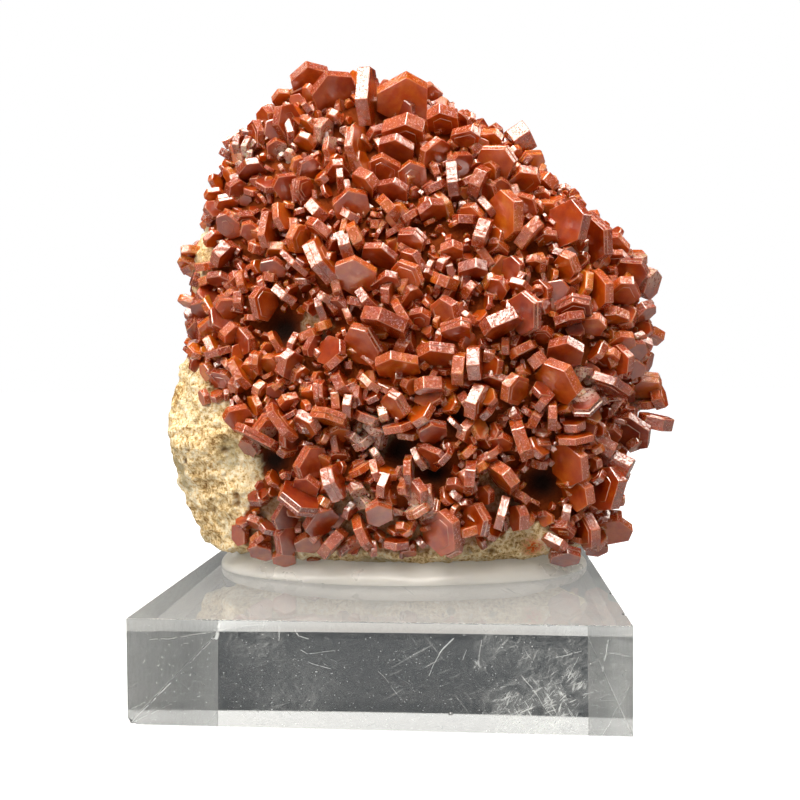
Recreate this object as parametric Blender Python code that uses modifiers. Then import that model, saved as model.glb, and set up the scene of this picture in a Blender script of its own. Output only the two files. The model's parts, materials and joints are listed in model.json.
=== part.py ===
"""Vanadinite crystals on their matrix, bedded in putty on a clear acrylic block.

The part stands on the flat bottom of the block: its origin is the centre of that face,
+Z is up and the crystal-covered side looks along -Y. Everything below is written in
millimetres and turned into metres where a mesh is made.
"""
import math
import random

import bmesh
import bpy
from mathutils import Matrix, Vector, noise
from mathutils.bvhtree import BVHTree

MM = 0.001

# ---------------------------------------------------------------- driving dimensions (mm)
BLOCK_WIDTH = 88.9          # a stock 3.5 in square of 3/4 in cast acrylic
BLOCK_DEPTH = 88.9
BLOCK_HEIGHT = 19.05
BLOCK_EDGE = 0.6            # polished edge

GAP = 0.3                   # between pieces that touch

PUTTY_HEIGHT = 4.2          # bed of clear silicone between the block and the rock
PUTTY_CENTRE = (0.8, 3.4)
PUTTY_HALF_WIDTH = 41.6
PUTTY_HALF_DEPTH = 22.6
PUTTY_SQUARENESS = 0.94
PUTTY_LOBES = 0.02          # how far its edge wanders, as a share of its radius
PUTTY_COLUMNS = 32          # facets around the pad
PUTTY_ROWS = 12             # facets from pole to pole of the ball it is pressed from
PUTTY_FLATNESS = 0.32       # below 1 its top is flat and its rim round

ROCK_BOTTOM = 21.9
ROCK_TOP = 125.0
ROCK_COLUMNS = 24           # facets around the rock
ROCK_ROWS = 18              # facets from its foot to its top
# The rock's reach at a few heights: height, left, right, front, back.
ROCK_SECTIONS = [
    (21.9, -41.0, 42.0, -14.5, 19.0),
    (27.0, -45.5, 45.0, -17.0, 21.5),
    (38.0, -48.5, 47.0, -20.5, 24.0),
    (50.0, -51.5, 50.5, -22.0, 25.0),
    (60.0, -50.0, 53.0, -22.0, 24.5),
    (67.0, -44.5, 53.0, -21.5, 24.0),
    (78.0, -43.5, 53.0, -20.5, 22.0),
    (88.0, -46.5, 50.0, -18.5, 20.0),
    (98.0, -41.5, 39.5, -15.5, 17.0),
    (110.0, -36.5, 27.5, -11.5, 13.5),
    (118.0, -29.5, 14.0, -8.0, 10.5),
    (125.0, -22.0, 5.0, -5.0, 8.0),
]
ROCK_FOOT = 0.22            # how early the rock closes in at its foot, and at its top
ROCK_CROWN = 0.42
ROCK_EDGE_DEPTH = 2.0       # where the rock is widest, measured along Y
ROCK_SQUARENESS = 0.82      # below 1 its plan is squarer than an ellipse
ROCK_LUMP = 1.8             # height of its lumps
ROCK_LUMP_SIZE = 15.0       # and their size
ROCK_MIDDLE = Vector((2.0, 2.0, 68.0))
# Broken faces on the back: the way each looks (turn about Z, rise) and its distance
# from the middle.
ROCK_BREAKS = [
    (72.0, 6.0, 20.5),
    (112.0, -10.0, 20.0),
    (95.0, 26.0, 27.0),
    (60.0, -28.0, 36.0),
    (140.0, 12.0, 33.0),
    (38.0, 20.0, 42.0),
]
BREAK_SHARPNESS = 0.9       # 1 cuts each broken face quite flat
# Hollows between the crystals: across, up (both on the sight plane), radius, depth.
HOLLOWS = [
    (0.0, -10.0, 6.0, 7.0),
    (7.0, -14.5, 5.0, 5.0),
    (-25.0, -12.0, 5.0, 4.0),
    (-23.0, 14.0, 6.0, 4.0),
    (11.5, -4.0, 4.0, 4.0),
    (28.5, -16.5, 6.0, 5.0),
]
HOLLOW_RIM = 1.6            # each fades out at this many times its radius
# The outline of the whole specimen on the same plane, clockwise from its lower left.
OUTLINE = [
    (-38.0, -31.0), (-41.0, -27.0), (-42.0, -20.0), (-44.0, -12.0), (-46.0, -5.0),
    (-45.5, 1.0), (-44.0, 6.5), (-41.5, 11.0), (-42.0, 15.0), (-41.5, 20.0),
    (-43.5, 27.0), (-41.0, 32.0), (-38.0, 38.0), (-36.5, 46.0), (-35.0, 51.0),
    (-31.0, 54.0), (-28.0, 57.5), (-24.0, 62.0), (-19.0, 66.5), (-14.0, 67.0),
    (-8.0, 66.0), (-4.0, 64.0), (-1.0, 65.5), (4.0, 65.5), (7.0, 60.0), (12.0, 57.5),
    (15.0, 54.5), (20.0, 53.5), (26.0, 55.5), (28.0, 51.0), (30.0, 44.0), (35.0, 40.5),
    (39.0, 37.0), (43.0, 33.5), (48.0, 29.0), (51.0, 25.0), (51.5, 12.0), (52.5, 3.0),
    (55.0, -5.0), (50.0, -8.0), (46.0, -11.0), (47.0, -16.0), (46.5, -27.0), (41.0, -31.0),
]

# The crystals are laid out as they show from the front: each lies where the line of
# sight from EYE, through a point across and up on the sight plane, meets the rock.
EYE = Vector((16.81, -196.82, 62.30))
SIGHT_YAW = math.radians(4.496)
SIGHT_PITCH = math.radians(-1.703)
SIGHT_ROLL = math.radians(-0.3975)
SIGHT_DISTANCE = 177.25
SIGHT_START = 150.0         # the rock is looked for from here on,
SIGHT_STEP = 0.4            # in steps of this length
SIGHT_STEPS = 220

# Each crystal: across, up, width over its corners, thickness, the way its end face leans
# (degrees, 0 to the right, 90 up), how far that face turns to the eye (0 edge on, 90 face
# on), the turn of its six corners about its axis, and its lift off the rock.
CRYSTALS = [
    # the top edge
    (-17.8, 63.2, 7.8, 2.6, 283, 50, 0, 0.0),
    (-13.6, 61.6, 9.2, 2.6, 295, 55, 0, 1.0),
    (-6.4, 60.2, 11.0, 2.8, 0, 15, 12, 0.0),
    (1.0, 60.2, 11.4, 3.2, 270, 58, 0, 1.0),
    (0.6, 53.2, 9.6, 3.4, 260, 26, 10, 1.0),
    (8.8, 56.0, 6.4, 2.8, 268, 32, 10, 0.5),
    (13.2, 52.2, 6.4, 2.2, 255, 38, 5, 0.5),
    (17.8, 51.6, 5.8, 2.0, 250, 45, 0, 0.0),
    (24.0, 52.2, 6.4, 4.2, 32, 8, 10, 1.0),
    (19.0, 46.8, 9.4, 2.0, 232, 55, 10, 0.5),
    (15.4, 50.2, 3.8, 2.0, 50, 10, 30, 1.0),
    (26.4, 47.6, 5.2, 1.8, 300, 60, 0, 0.0),
    # the upper left shoulder
    (-23.6, 60.4, 4.2, 1.6, 280, 40, 15, 0.0),
    (-22.6, 56.0, 6.8, 2.2, 350, 50, 30, 0.5),
    (-26.8, 56.4, 4.8, 2.0, 200, 45, 0, 0.0),
    (-28.8, 53.0, 5.6, 1.8, 190, 40, 0, 0.0),
    (-34.2, 51.6, 3.0, 2.0, 120, 40, 0, 0.0),
    (-32.0, 50.8, 5.4, 1.6, 355, 12, 20, 0.0),
    (-30.2, 50.2, 5.0, 1.4, 350, 20, 0, 0.0),
    (-34.0, 48.8, 4.0, 1.6, 60, 15, 0, 0.0),
    (-29.6, 46.0, 6.0, 1.8, 290, 30, 10, 0.0),
    (-28.4, 43.2, 3.6, 1.4, 250, 50, 0, 0.0),
    (-32.4, 42.0, 5.4, 2.0, 320, 45, 10, 0.0),
    (-26.2, 40.8, 2.2, 3.6, 95, 10, 30, 0.0),
    (-34.6, 39.4, 5.2, 1.8, 280, 30, 30, 0.5),
    (-34.0, 35.0, 6.0, 2.2, 250, 60, 10, 0.5),
    (-30.8, 35.6, 5.0, 1.8, 300, 55, 0, 0.0),
    (-38.0, 37.2, 4.4, 1.6, 150, 40, 0, 0.0),
    (-22.6, 42.6, 6.0, 1.8, 305, 60, 0, 0.5),
    (-19.6, 42.4, 5.2, 2.2, 350, 45, 30, 0.8),
    (-18.2, 46.0, 5.4, 1.8, 315, 50, 10, 0.0),
    (-16.6, 38.0, 5.8, 2.6, 45, 15, 10, 0.5),
    (-12.4, 45.6, 5.6, 2.0, 280, 40, 20, 0.0),
    # below the top edge
    (-15.2, 53.6, 5.6, 2.0, 340, 30, 0, -0.5),
    (-8.6, 50.8, 9.8, 2.0, 0, 25, 15, 0.5),
    (-4.0, 52.8, 5.2, 2.0, 300, 40, 10, 0.0),
    (-0.8, 49.6, 8.0, 2.2, 262, 35, 0, 0.5),
    (-3.2, 46.2, 6.4, 2.0, 262, 55, 5, 0.8),
    (2.6, 44.8, 6.2, 1.8, 280, 68, 0, 0.5),
    (7.0, 49.4, 6.8, 2.2, 315, 50, 20, 0.3),
    (7.2, 45.8, 3.0, 1.6, 20, 10, 30, 1.5),
    (12.4, 47.4, 5.4, 2.0, 300, 60, 0, 0.0),
    (10.6, 44.4, 7.0, 2.4, 5, 12, 15, 1.5),
    (7.2, 42.6, 4.2, 1.8, 115, 10, 20, 1.5),
    (15.8, 43.6, 6.6, 2.8, 335, 12, 30, 1.0),
    (18.0, 42.0, 4.2, 1.8, 220, 40, 0, 0.0),
    (21.0, 42.8, 3.2, 1.8, 50, 10, 30, 0.5),
    (24.6, 44.0, 6.6, 2.4, 262, 42, 30, 0.5),
    (29.2, 43.6, 4.8, 2.6, 230, 15, 20, 0.0),
    (28.2, 40.6, 3.6, 1.4, 260, 50, 0, 0.0),
    (-6.8, 43.6, 6.8, 2.6, 225, 18, 10, 0.5),
    (-1.4, 41.6, 6.8, 1.8, 250, 38, 10, 0.5),
    (-9.6, 39.0, 7.6, 2.0, 285, 68, 0, 0.5),
    (-2.2, 38.4, 6.4, 2.4, 42, 8, 30, 1.2),
    (2.0, 36.8, 4.6, 1.8, 122, 8, 30, 1.2),
    (6.6, 38.0, 6.2, 2.2, 290, 35, 0, 0.5),
    (13.0, 36.0, 5.0, 2.0, 88, 8, 30, 0.0),
    (12.6, 38.6, 2.4, 2.0, 0, 10, 0, 0.0),
    (14.8, 38.8, 3.0, 1.8, 100, 15, 0, 0.0),
    (21.0, 36.6, 9.4, 2.8, 190, 42, 15, 1.0),
    (16.6, 33.6, 7.0, 3.0, 342, 15, 20, 1.5),
    # the upper right
    (33.4, 35.2, 10.0, 2.8, 182, 50, 10, 0.8),
    (38.4, 32.4, 9.6, 2.4, 195, 35, 10, 0.3),
    (29.2, 38.0, 4.8, 1.8, 240, 60, 0, 0.0),
    (26.8, 38.4, 4.6, 1.8, 250, 50, 0, 0.0),
    (31.0, 39.6, 4.0, 1.8, 100, 40, 0, 0.0),
    (42.6, 30.6, 6.0, 2.0, 250, 55, 0, 0.0),
    (47.2, 28.4, 4.6, 2.0, 100, 40, 0, 0.0),
    (46.2, 25.0, 7.0, 2.0, 240, 60, 0, 0.5),
    (44.6, 21.8, 6.8, 2.2, 268, 42, 30, 1.0),
    (49.8, 23.2, 6.0, 2.4, 330, 50, 0, 0.0),
    (49.0, 17.8, 5.2, 2.2, 300, 40, 0, 0.0),
    (43.4, 27.8, 5.0, 1.8, 250, 50, 0, 0.0),
    (40.4, 27.6, 4.2, 1.8, 320, 40, 0, 0.0),
    (40.0, 22.0, 7.8, 2.2, 185, 25, 20, 0.5),
    (33.6, 26.6, 5.8, 2.6, 215, 40, 10, 0.5),
    (27.6, 27.4, 5.4, 1.8, 260, 15, 10, 0.0),
    (32.0, 29.4, 4.2, 1.6, 70, 10, 0, 0.5),
    (25.8, 33.2, 6.8, 2.6, 318, 12, 10, 1.0),
    (29.0, 32.0, 4.8, 1.8, 300, 40, 0, -0.5),
    (35.4, 23.0, 3.6, 1.8, 350, 30, 0, -0.5),
    (32.4, 21.2, 2.4, 1.6, 60, 30, 0, 0.5),
    (28.4, 22.0, 4.6, 2.0, 200, 55, 0, -0.5),
    (34.6, 18.2, 7.6, 2.4, 265, 42, 20, 0.3),
    (33.8, 16.0, 6.2, 2.0, 282, 15, 10, 1.0),
    (38.0, 15.0, 6.0, 2.2, 250, 50, 0, 0.0),
    (43.0, 16.6, 6.0, 2.2, 265, 25, 0, 0.0),
    (49.6, 13.0, 6.4, 2.0, 255, 20, 0, 0.0),
    (48.0, 11.0, 5.0, 2.0, 270, 45, 0, 0.0),
    (44.0, 11.4, 5.6, 2.0, 270, 50, 20, 0.0),
    # the upper middle
    (-8.8, 32.8, 6.2, 2.4, 25, 12, 30, 1.0),
    (-10.0, 36.8, 4.6, 1.8, 60, 10, 0, 1.0),
    (-10.6, 30.4, 5.4, 2.8, 15, 10, 0, 1.0),
    (-15.6, 28.2, 9.2, 3.2, 28, 22, 15, 1.2),
    (-16.0, 33.8, 6.6, 2.2, 232, 12, 20, 0.8),
    (-20.4, 32.0, 6.2, 2.2, 340, 40, 20, 0.5),
    (-26.0, 33.6, 8.0, 1.8, 0, 25, 10, 1.0),
    (-23.2, 36.4, 7.2, 1.6, 18, 28, 0, 0.3),
    (-21.0, 27.4, 9.0, 1.4, 48, 8, 0, 0.8),
    (-4.2, 35.2, 4.0, 2.0, 90, 15, 0, -0.5),
    (-1.0, 34.0, 4.4, 1.4, 120, 10, 0, 0.5),
    (2.4, 31.8, 6.4, 2.2, 240, 45, 10, 0.5),
    (1.0, 30.6, 3.0, 1.2, 60, 20, 0, 1.5),
    (-4.2, 28.8, 8.0, 1.8, 250, 38, 0, 0.0),
    (-9.0, 24.8, 9.6, 2.0, 260, 62, 5, 1.0),
    (2.6, 27.4, 6.0, 2.2, 225, 45, 10, 0.0),
    (1.2, 25.2, 7.0, 1.8, 225, 60, 0, 0.8),
    (-2.4, 23.2, 6.8, 2.0, 265, 45, 20, 0.3),
    (10.4, 29.6, 5.2, 2.4, 270, 45, 0, 0.0),
    (8.8, 27.0, 4.4, 2.0, 330, 30, 0, 0.3),
    (8.8, 23.8, 6.0, 2.6, 70, 12, 25, 1.2),
    (5.6, 25.2, 4.4, 2.0, 250, 30, 0, 0.3),
    (11.8, 24.0, 3.4, 1.8, 80, 10, 0, 0.8),
    (14.2, 25.8, 6.8, 2.6, 270, 30, 0, 0.8),
    (14.0, 22.0, 5.4, 2.0, 318, 12, 20, 0.5),
    (19.2, 22.4, 6.0, 2.0, 230, 50, 10, 0.0),
    (22.2, 26.0, 6.0, 2.0, 200, 60, 0, 0.0),
    (19.4, 30.0, 5.4, 1.8, 250, 40, 0, 0.0),
    # the left edge
    (-28.4, 32.8, 4.0, 1.6, 240, 40, 0, 0.0),
    (-29.0, 30.8, 3.0, 2.0, 20, 20, 0, 0.3),
    (-35.0, 29.2, 5.6, 2.6, 318, 15, 20, 0.5),
    (-32.8, 28.8, 2.2, 1.2, 200, 30, 0, 0.0),
    (-39.0, 26.8, 4.0, 1.8, 100, 20, 0, 0.0),
    (-41.0, 24.0, 3.4, 1.6, 160, 30, 0, 0.0),
    (-42.4, 26.4, 3.6, 1.6, 120, 30, 0, 0.0),
    (-32.2, 24.0, 4.4, 2.2, 290, 40, 0, 0.0),
    (-34.2, 23.2, 2.8, 1.8, 40, 20, 0, 0.0),
    (-32.2, 20.2, 4.2, 2.0, 0, 5, 20, 1.0),
    (-26.0, 24.6, 3.0, 2.0, 80, 10, 30, 0.8),
    (-23.2, 21.2, 6.2, 2.0, 52, 10, 10, 1.2),
    (-27.2, 19.4, 7.0, 2.0, 350, 50, 0, 0.8),
    (-39.4, 20.4, 4.8, 1.4, 130, 10, 0, 0.0),
    (-38.6, 18.2, 6.0, 2.2, 260, 50, 0, 0.0),
    (-34.2, 18.8, 6.0, 2.2, 300, 60, 0, 0.0),
    (-39.6, 13.8, 4.8, 2.4, 185, 30, 10, 0.0),
    (-33.6, 13.4, 5.0, 2.4, 320, 40, 20, 0.0),
    (-40.6, 9.8, 3.8, 1.8, 60, 40, 0, 0.0),
    (-36.0, 9.8, 6.2, 1.6, 105, 12, 0, 0.3),
    (-31.2, 11.8, 5.4, 2.0, 200, 55, 0, 0.0),
    (-28.8, 7.6, 5.6, 2.2, 355, 8, 20, 1.0),
    (-25.8, 7.6, 4.4, 2.0, 250, 60, 0, 0.0),
    (-22.0, 7.4, 6.6, 2.4, 330, 35, 0, 0.8),
    (-24.8, 11.8, 5.2, 1.4, 28, 8, 0, 0.8),
    (-21.2, 11.4, 4.4, 1.6, 340, 15, 0, 0.0),
    (-17.4, 10.6, 5.0, 1.8, 345, 45, 10, 0.3),
    (-36.4, 0.8, 2.8, 1.8, 100, 50, 0, 0.3),
    (-39.0, 0.4, 3.4, 1.6, 200, 40, 0, 0.0),
    (-35.6, 4.4, 5.2, 2.0, 240, 55, 0, 0.0),
    (-38.4, 5.6, 4.4, 1.8, 200, 50, 0, 0.0),
    (-31.8, 5.4, 7.0, 2.0, 30, 12, 20, 0.8),
    (-33.8, 7.0, 4.6, 1.6, 45, 10, 0, 0.3),
    (-32.6, 3.0, 4.0, 1.8, 350, 30, 0, 0.0),
    (-27.8, 2.4, 3.8, 2.0, 330, 25, 0, 0.3),
    (-24.2, 3.2, 3.8, 1.4, 130, 10, 0, 0.5),
    (-32.4, -3.4, 6.4, 2.0, 305, 60, 0, 0.3),
    (-28.4, -7.6, 10.0, 2.0, 243, 15, 20, 0.5),
    (-30.0, -9.4, 4.8, 1.8, 230, 45, 0, -0.3),
    (-28.6, -10.0, 2.0, 1.6, 60, 20, 0, 0.5),
    (-26.4, -5.2, 6.0, 2.4, 300, 55, 0, 0.0),
    (-23.8, -4.2, 9.0, 2.0, 38, 8, 25, 1.0),
    (-23.0, -6.6, 2.0, 1.6, 40, 10, 0, 2.0),
    # the middle
    (-6.4, 20.2, 5.8, 2.2, 40, 18, 0, 0.3),
    (-2.0, 21.4, 5.4, 2.2, 350, 30, 0, 0.0),
    (2.2, 21.0, 4.8, 2.0, 300, 40, 10, 0.3),
    (-14.6, 20.4, 4.6, 2.0, 60, 12, 0, 1.0),
    (-15.6, 18.4, 5.6, 1.8, 15, 12, 0, 0.3),
    (-12.8, 18.6, 5.6, 2.2, 250, 50, 0, 0.0),
    (-3.2, 15.4, 10.6, 3.2, 250, 14, 10, 1.5),
    (0.4, 17.4, 6.0, 2.0, 32, 10, 30, 1.5),
    (-7.8, 11.0, 9.2, 2.2, 225, 58, 10, 1.0),
    (-13.8, 9.6, 7.4, 2.2, 160, 62, 0, 0.3),
    (-13.0, 7.8, 5.0, 2.0, 130, 8, 20, 1.2),
    (8.8, 17.8, 6.6, 2.6, 215, 55, 0, 0.5),
    (3.8, 16.4, 5.2, 2.0, 260, 50, 0, 0.0),
    (11.6, 14.0, 7.2, 2.4, 265, 35, 10, 0.5),
    (13.6, 16.2, 4.2, 1.4, 230, 15, 0, 0.3),
    (8.2, 12.6, 3.8, 1.8, 340, 30, 0, 0.0),
    (0.6, 10.6, 4.6, 2.8, 330, 20, 0, 0.0),
    (20.2, 15.2, 8.8, 3.2, 296, 25, 20, 1.2),
    (24.8, 17.8, 9.0, 2.4, 195, 55, 10, 1.0),
    (23.6, 22.4, 5.6, 1.6, 240, 25, 0, 0.3),
    (7.6, 9.0, 8.6, 2.6, 268, 35, 20, 0.8),
    (0.0, 6.8, 9.2, 2.4, 270, 38, 10, 0.8),
    (4.8, 7.2, 3.0, 2.0, 40, 20, 0, 1.5),
    (11.8, 6.4, 6.8, 2.8, 355, 12, 20, 1.2),
    (15.0, 7.2, 7.6, 3.0, 2, 15, 10, 1.2),
    (18.0, 8.8, 3.4, 2.6, 350, 20, 0, 0.5),
    (21.2, 10.8, 4.2, 1.8, 0, 15, 0, 0.5),
    (19.4, 10.8, 3.0, 1.6, 110, 20, 0, 0.5),
    (23.2, 11.0, 4.0, 2.0, 350, 40, 0, 0.0),
    (28.8, 13.0, 4.4, 2.0, 250, 50, 0, 0.0),
    (33.2, 9.6, 8.4, 2.6, 255, 50, 10, 0.5),
    (36.6, 6.0, 3.8, 1.6, 80, 15, 0, 0.3),
    (-20.0, 5.2, 4.4, 1.8, 320, 40, 0, 0.0),
    (-10.4, 7.0, 2.0, 1.8, 90, 10, 30, 1.0),
    (-5.8, 3.4, 5.2, 1.8, 52, 10, 0, 0.3),
    (-2.2, 2.4, 4.0, 1.8, 75, 15, 0, 0.0),
    (-11.8, 3.4, 6.0, 2.4, 28, 12, 20, 1.0),
    (-15.8, 1.2, 6.0, 2.2, 5, 12, 20, 1.0),
    (-18.0, 1.6, 3.6, 2.0, 260, 50, 0, 0.0),
    (-18.2, 3.2, 2.6, 1.2, 90, 15, 0, 0.5),
    (-22.2, -0.2, 4.4, 2.0, 300, 40, 0, 0.0),
    (-12.6, 0.0, 5.4, 2.0, 5, 10, 30, 0.8),
    (-10.2, -1.0, 5.4, 2.0, 355, 10, 0, 1.0),
    (-8.4, 0.8, 4.4, 2.4, 10, 30, 0, 0.0),
    (-1.0, -1.0, 7.6, 2.4, 225, 35, 0, 0.5),
    (6.0, 2.6, 6.6, 3.0, 272, 22, 20, 0.5),
    (7.4, 1.0, 2.4, 1.6, 70, 20, 0, 1.0),
    (9.2, -0.2, 3.4, 1.8, 30, 30, 0, 0.0),
    (4.4, -2.4, 6.8, 2.0, 135, 35, 0, 0.5),
    (6.6, -6.2, 6.2, 2.2, 280, 58, 0, 0.3),
    (15.4, -0.2, 7.8, 2.8, 340, 30, 10, 0.8),
    (17.4, -2.0, 5.6, 1.8, 140, 12, 0, 0.3),
    (23.0, 2.2, 7.0, 2.4, 330, 50, 10, 0.5),
    (27.6, 7.8, 4.2, 3.0, 305, 15, 0, 0.8),
    (32.0, 3.4, 10.6, 2.8, 222, 42, 10, 1.0),
    (36.4, -0.2, 7.4, 2.2, 110, 55, 0, 0.0),
    # the right edge
    (49.2, 7.6, 4.8, 2.0, 340, 40, 0, 0.0),
    (43.8, 8.4, 6.4, 2.2, 200, 50, 0, 0.3),
    (41.4, 8.6, 5.4, 2.0, 250, 40, 0, 0.0),
    (43.6, 5.2, 2.8, 1.8, 5, 10, 0, 0.5),
    (41.2, 3.2, 9.0, 2.0, 245, 10, 0, 1.0),
    (48.6, 2.6, 6.4, 2.2, 280, 55, 0, 0.5),
    (48.2, -0.8, 6.0, 1.8, 95, 10, 0, 0.3),
    (51.8, 0.6, 5.4, 2.2, 20, 40, 0, 0.0),
    (40.4, 0.6, 3.4, 1.4, 30, 10, 0, 0.0),
    (43.0, -1.2, 4.2, 1.6, 320, 12, 0, 0.0),
    (46.4, -6.2, 8.6, 1.8, 236, 50, 30, 0.8),
    (51.2, -4.4, 7.0, 2.8, 80, 12, 10, 0.5),
    (47.4, -8.6, 4.6, 1.8, 300, 35, 0, 0.0),
    (42.6, -11.8, 3.8, 9.0, 332, 30, 0, 0.5),
    (40.6, -9.2, 3.6, 5.6, 330, 20, 0, 0.3),
    (41.2, -17.6, 9.4, 3.0, 180, 48, 10, 0.3),
    (39.4, -15.2, 4.0, 1.6, 140, 20, 0, 0.8),
    (42.0, -6.4, 5.0, 2.0, 250, 50, 0, -0.5),
    # the lower right
    (27.2, -3.6, 4.6, 2.2, 330, 15, 0, 0.3),
    (28.6, -0.6, 5.4, 2.0, 320, 12, 0, 0.5),
    (30.4, -3.2, 6.0, 2.0, 0, 10, 20, 0.8),
    (34.6, -4.8, 5.4, 2.0, 100, 30, 0, 0.0),
    (35.2, -7.6, 7.8, 1.6, 95, 12, 0, 0.5),
    (34.0, -12.4, 8.8, 2.6, 200, 52, 10, 0.8),
    (35.4, -18.2, 8.0, 2.6, 195, 38, 20, 1.2),
    (40.4, -22.8, 3.8, 1.6, 60, 50, 0, 0.8),
    (42.2, -26.0, 8.0, 2.2, 260, 68, 0, 0.3),
    (39.4, -29.6, 4.6, 1.8, 280, 55, 0, 0.0),
    (37.6, -26.0, 7.4, 2.4, 190, 20, 10, 0.5),
    (32.4, -26.0, 5.4, 2.0, 250, 50, 0, 0.0),
    (33.4, -22.4, 4.6, 2.0, 350, 20, 0, 0.3),
    (33.0, -31.4, 6.4, 2.2, 270, 50, 0, 0.0),
    (31.0, -28.6, 5.4, 1.8, 235, 25, 0, 0.3),
    (23.8, -23.6, 6.4, 2.4, 185, 25, 10, 0.5),
    (23.8, -19.2, 5.0, 2.0, 235, 12, 0, 0.8),
    (20.4, -15.0, 8.0, 2.8, 220, 18, 20, 1.0),
    (20.4, -22.6, 7.0, 2.0, 345, 12, 0, 1.0),
    (28.6, -11.0, 2.2, 1.6, 60, 20, 0, 0.0),
    (28.0, -9.4, 5.0, 2.0, 290, 50, 0, 0.0),
    (28.0, -12.6, 3.8, 2.0, 80, 20, 0, 0.3),
    (24.2, -7.6, 9.0, 3.0, 18, 10, 25, 1.2),
    (23.0, -2.6, 3.2, 2.2, 30, 30, 0, 1.0),
    (19.0, -5.6, 2.6, 1.8, 20, 20, 0, 0.5),
    (19.8, -8.4, 5.4, 2.0, 260, 55, 0, 0.0),
    (16.8, -8.0, 3.6, 1.8, 230, 40, 0, 0.0),
    (17.4, -12.0, 5.2, 1.8, 285, 35, 0, 0.0),
    (11.2, -4.8, 5.6, 1.2, 48, 8, 0, 0.8),
    (13.4, -6.2, 4.6, 2.4, 330, 40, 0, 0.3),
    (14.0, -15.6, 7.0, 2.4, 355, 8, 30, 1.0),
    (12.6, -12.8, 2.4, 1.4, 320, 20, 0, 0.5),
    (11.0, -17.2, 4.4, 2.0, 260, 45, 0, 0.0),
    (11.2, -18.8, 3.2, 1.8, 50, 15, 0, 0.3),
    (17.0, -18.8, 4.6, 2.0, 200, 50, 0, -0.3),
    (13.0, -20.8, 4.0, 1.6, 270, 30, 0, 0.0),
    (11.4, -22.6, 2.4, 1.6, 40, 20, 0, 0.3),
    (15.2, -24.4, 7.6, 2.4, 190, 50, 0, 0.5),
    (8.6, -26.4, 9.6, 2.6, 200, 58, 10, 0.8),
    (6.0, -21.0, 5.0, 2.0, 150, 50, 0, 0.0),
    (4.4, -28.4, 2.6, 1.6, 45, 15, 0, 0.8),
    (3.6, -21.8, 5.8, 2.2, 122, 8, 30, 1.0),
    (3.2, -18.4, 5.8, 2.4, 200, 45, 0, 0.5),
    (1.8, -14.4, 7.0, 1.8, 2, 10, 15, 0.8),
    (6.4, -11.4, 7.0, 1.8, 230, 45, 0, 0.3),
    (8.8, -11.2, 5.2, 1.6, 140, 12, 20, 1.0),
    (4.0, -11.4, 5.4, 1.6, 30, 20, 0, 0.3),
    (0.8, -26.0, 5.0, 1.8, 260, 40, 0, 0.0),
    (-0.4, -28.6, 5.4, 1.8, 88, 10, 0, 0.5),
    (1.6, -30.2, 3.8, 1.6, 270, 40, 0, 0.0),
    # the lower left
    (-0.8, -5.4, 7.0, 1.8, 105, 12, 0, 0.5),
    (-5.0, -5.6, 5.0, 2.0, 60, 30, 0, 0.3),
    (-4.0, -8.2, 3.8, 2.2, 330, 40, 0, 0.5),
    (-7.6, -8.0, 5.4, 2.2, 120, 30, 0, 0.0),
    (-13.8, -3.6, 8.0, 2.6, 255, 18, 10, 1.0),
    (-16.6, -5.4, 2.6, 1.4, 30, 10, 0, 1.0),
    (-18.6, -5.0, 6.4, 2.4, 225, 40, 0, 0.0),
    (-12.0, -6.4, 5.6, 2.2, 280, 50, 0, 0.3),
    (-15.0, -7.6, 4.6, 2.0, 300, 40, 0, 0.0),
    (-17.8, -12.4, 7.8, 2.2, 345, 58, 10, 0.5),
    (-13.2, -16.4, 7.6, 3.0, 20, 15, 0, 0.8),
    (-12.6, -11.4, 5.0, 1.8, 280, 50, 0, -0.3),
    (-8.2, -14.0, 5.2, 1.6, 118, 8, 0, 0.5),
    (-9.0, -16.0, 3.4, 1.2, 60, 15, 0, 0.0),
    (-3.2, -17.0, 5.6, 2.0, 345, 20, 0, 0.3),
    (-4.6, -14.0, 5.0, 1.8, 20, 15, 0, 0.3),
    (-8.6, -18.0, 4.0, 2.4, 300, 50, 0, 0.0),
    (-7.6, -20.4, 3.6, 2.0, 200, 60, 0, 0.0),
    (-22.8, -15.0, 2.6, 1.8, 80, 10, 0, 0.5),
    (-18.8, -17.0, 6.4, 2.0, 250, 60, 0, 0.0),
    (-20.4, -19.4, 9.8, 2.4, 62, 30, 10, 0.8),
    (-22.6, -22.8, 7.0, 1.6, 345, 60, 10, 0.8),
    (-28.4, -19.4, 4.2, 1.8, 110, 50, 0, 0.0),
    (-29.0, -24.4, 4.2, 1.8, 240, 40, 0, 0.0),
    (-26.4, -25.4, 4.2, 1.6, 60, 30, 0, 0.3),
    (-22.2, -27.6, 7.0, 2.0, 345, 55, 0, 0.3),
    (-32.0, -26.8, 4.6, 1.6, 200, 68, 0, 0.0),
    (-27.8, -27.4, 3.6, 1.4, 125, 8, 30, 0.8),
    (-27.8, -30.0, 5.8, 2.0, 270, 55, 0, 0.0),
    (-23.8, -30.2, 2.0, 1.6, 45, 10, 0, 0.5),
    (-23.0, -31.4, 5.0, 1.8, 270, 60, 0, 0.0),
    (-16.0, -24.4, 7.4, 2.2, 305, 58, 0, 0.3),
    (-13.4, -28.6, 7.2, 2.6, 318, 12, 15, 0.8),
    (-18.2, -28.4, 5.6, 2.0, 280, 55, 0, 0.0),
    (-9.8, -29.0, 4.4, 2.0, 300, 45, 0, 0.0),
    (-10.0, -22.2, 4.2, 1.6, 330, 30, 0, 0.0),
    (-4.2, -22.6, 6.6, 2.2, 275, 68, 0, 0.5),
    (-7.4, -26.8, 7.4, 2.2, 25, 5, 30, 1.0),
    (-4.0, -27.2, 2.6, 1.6, 60, 30, 0, 0.3),
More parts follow.
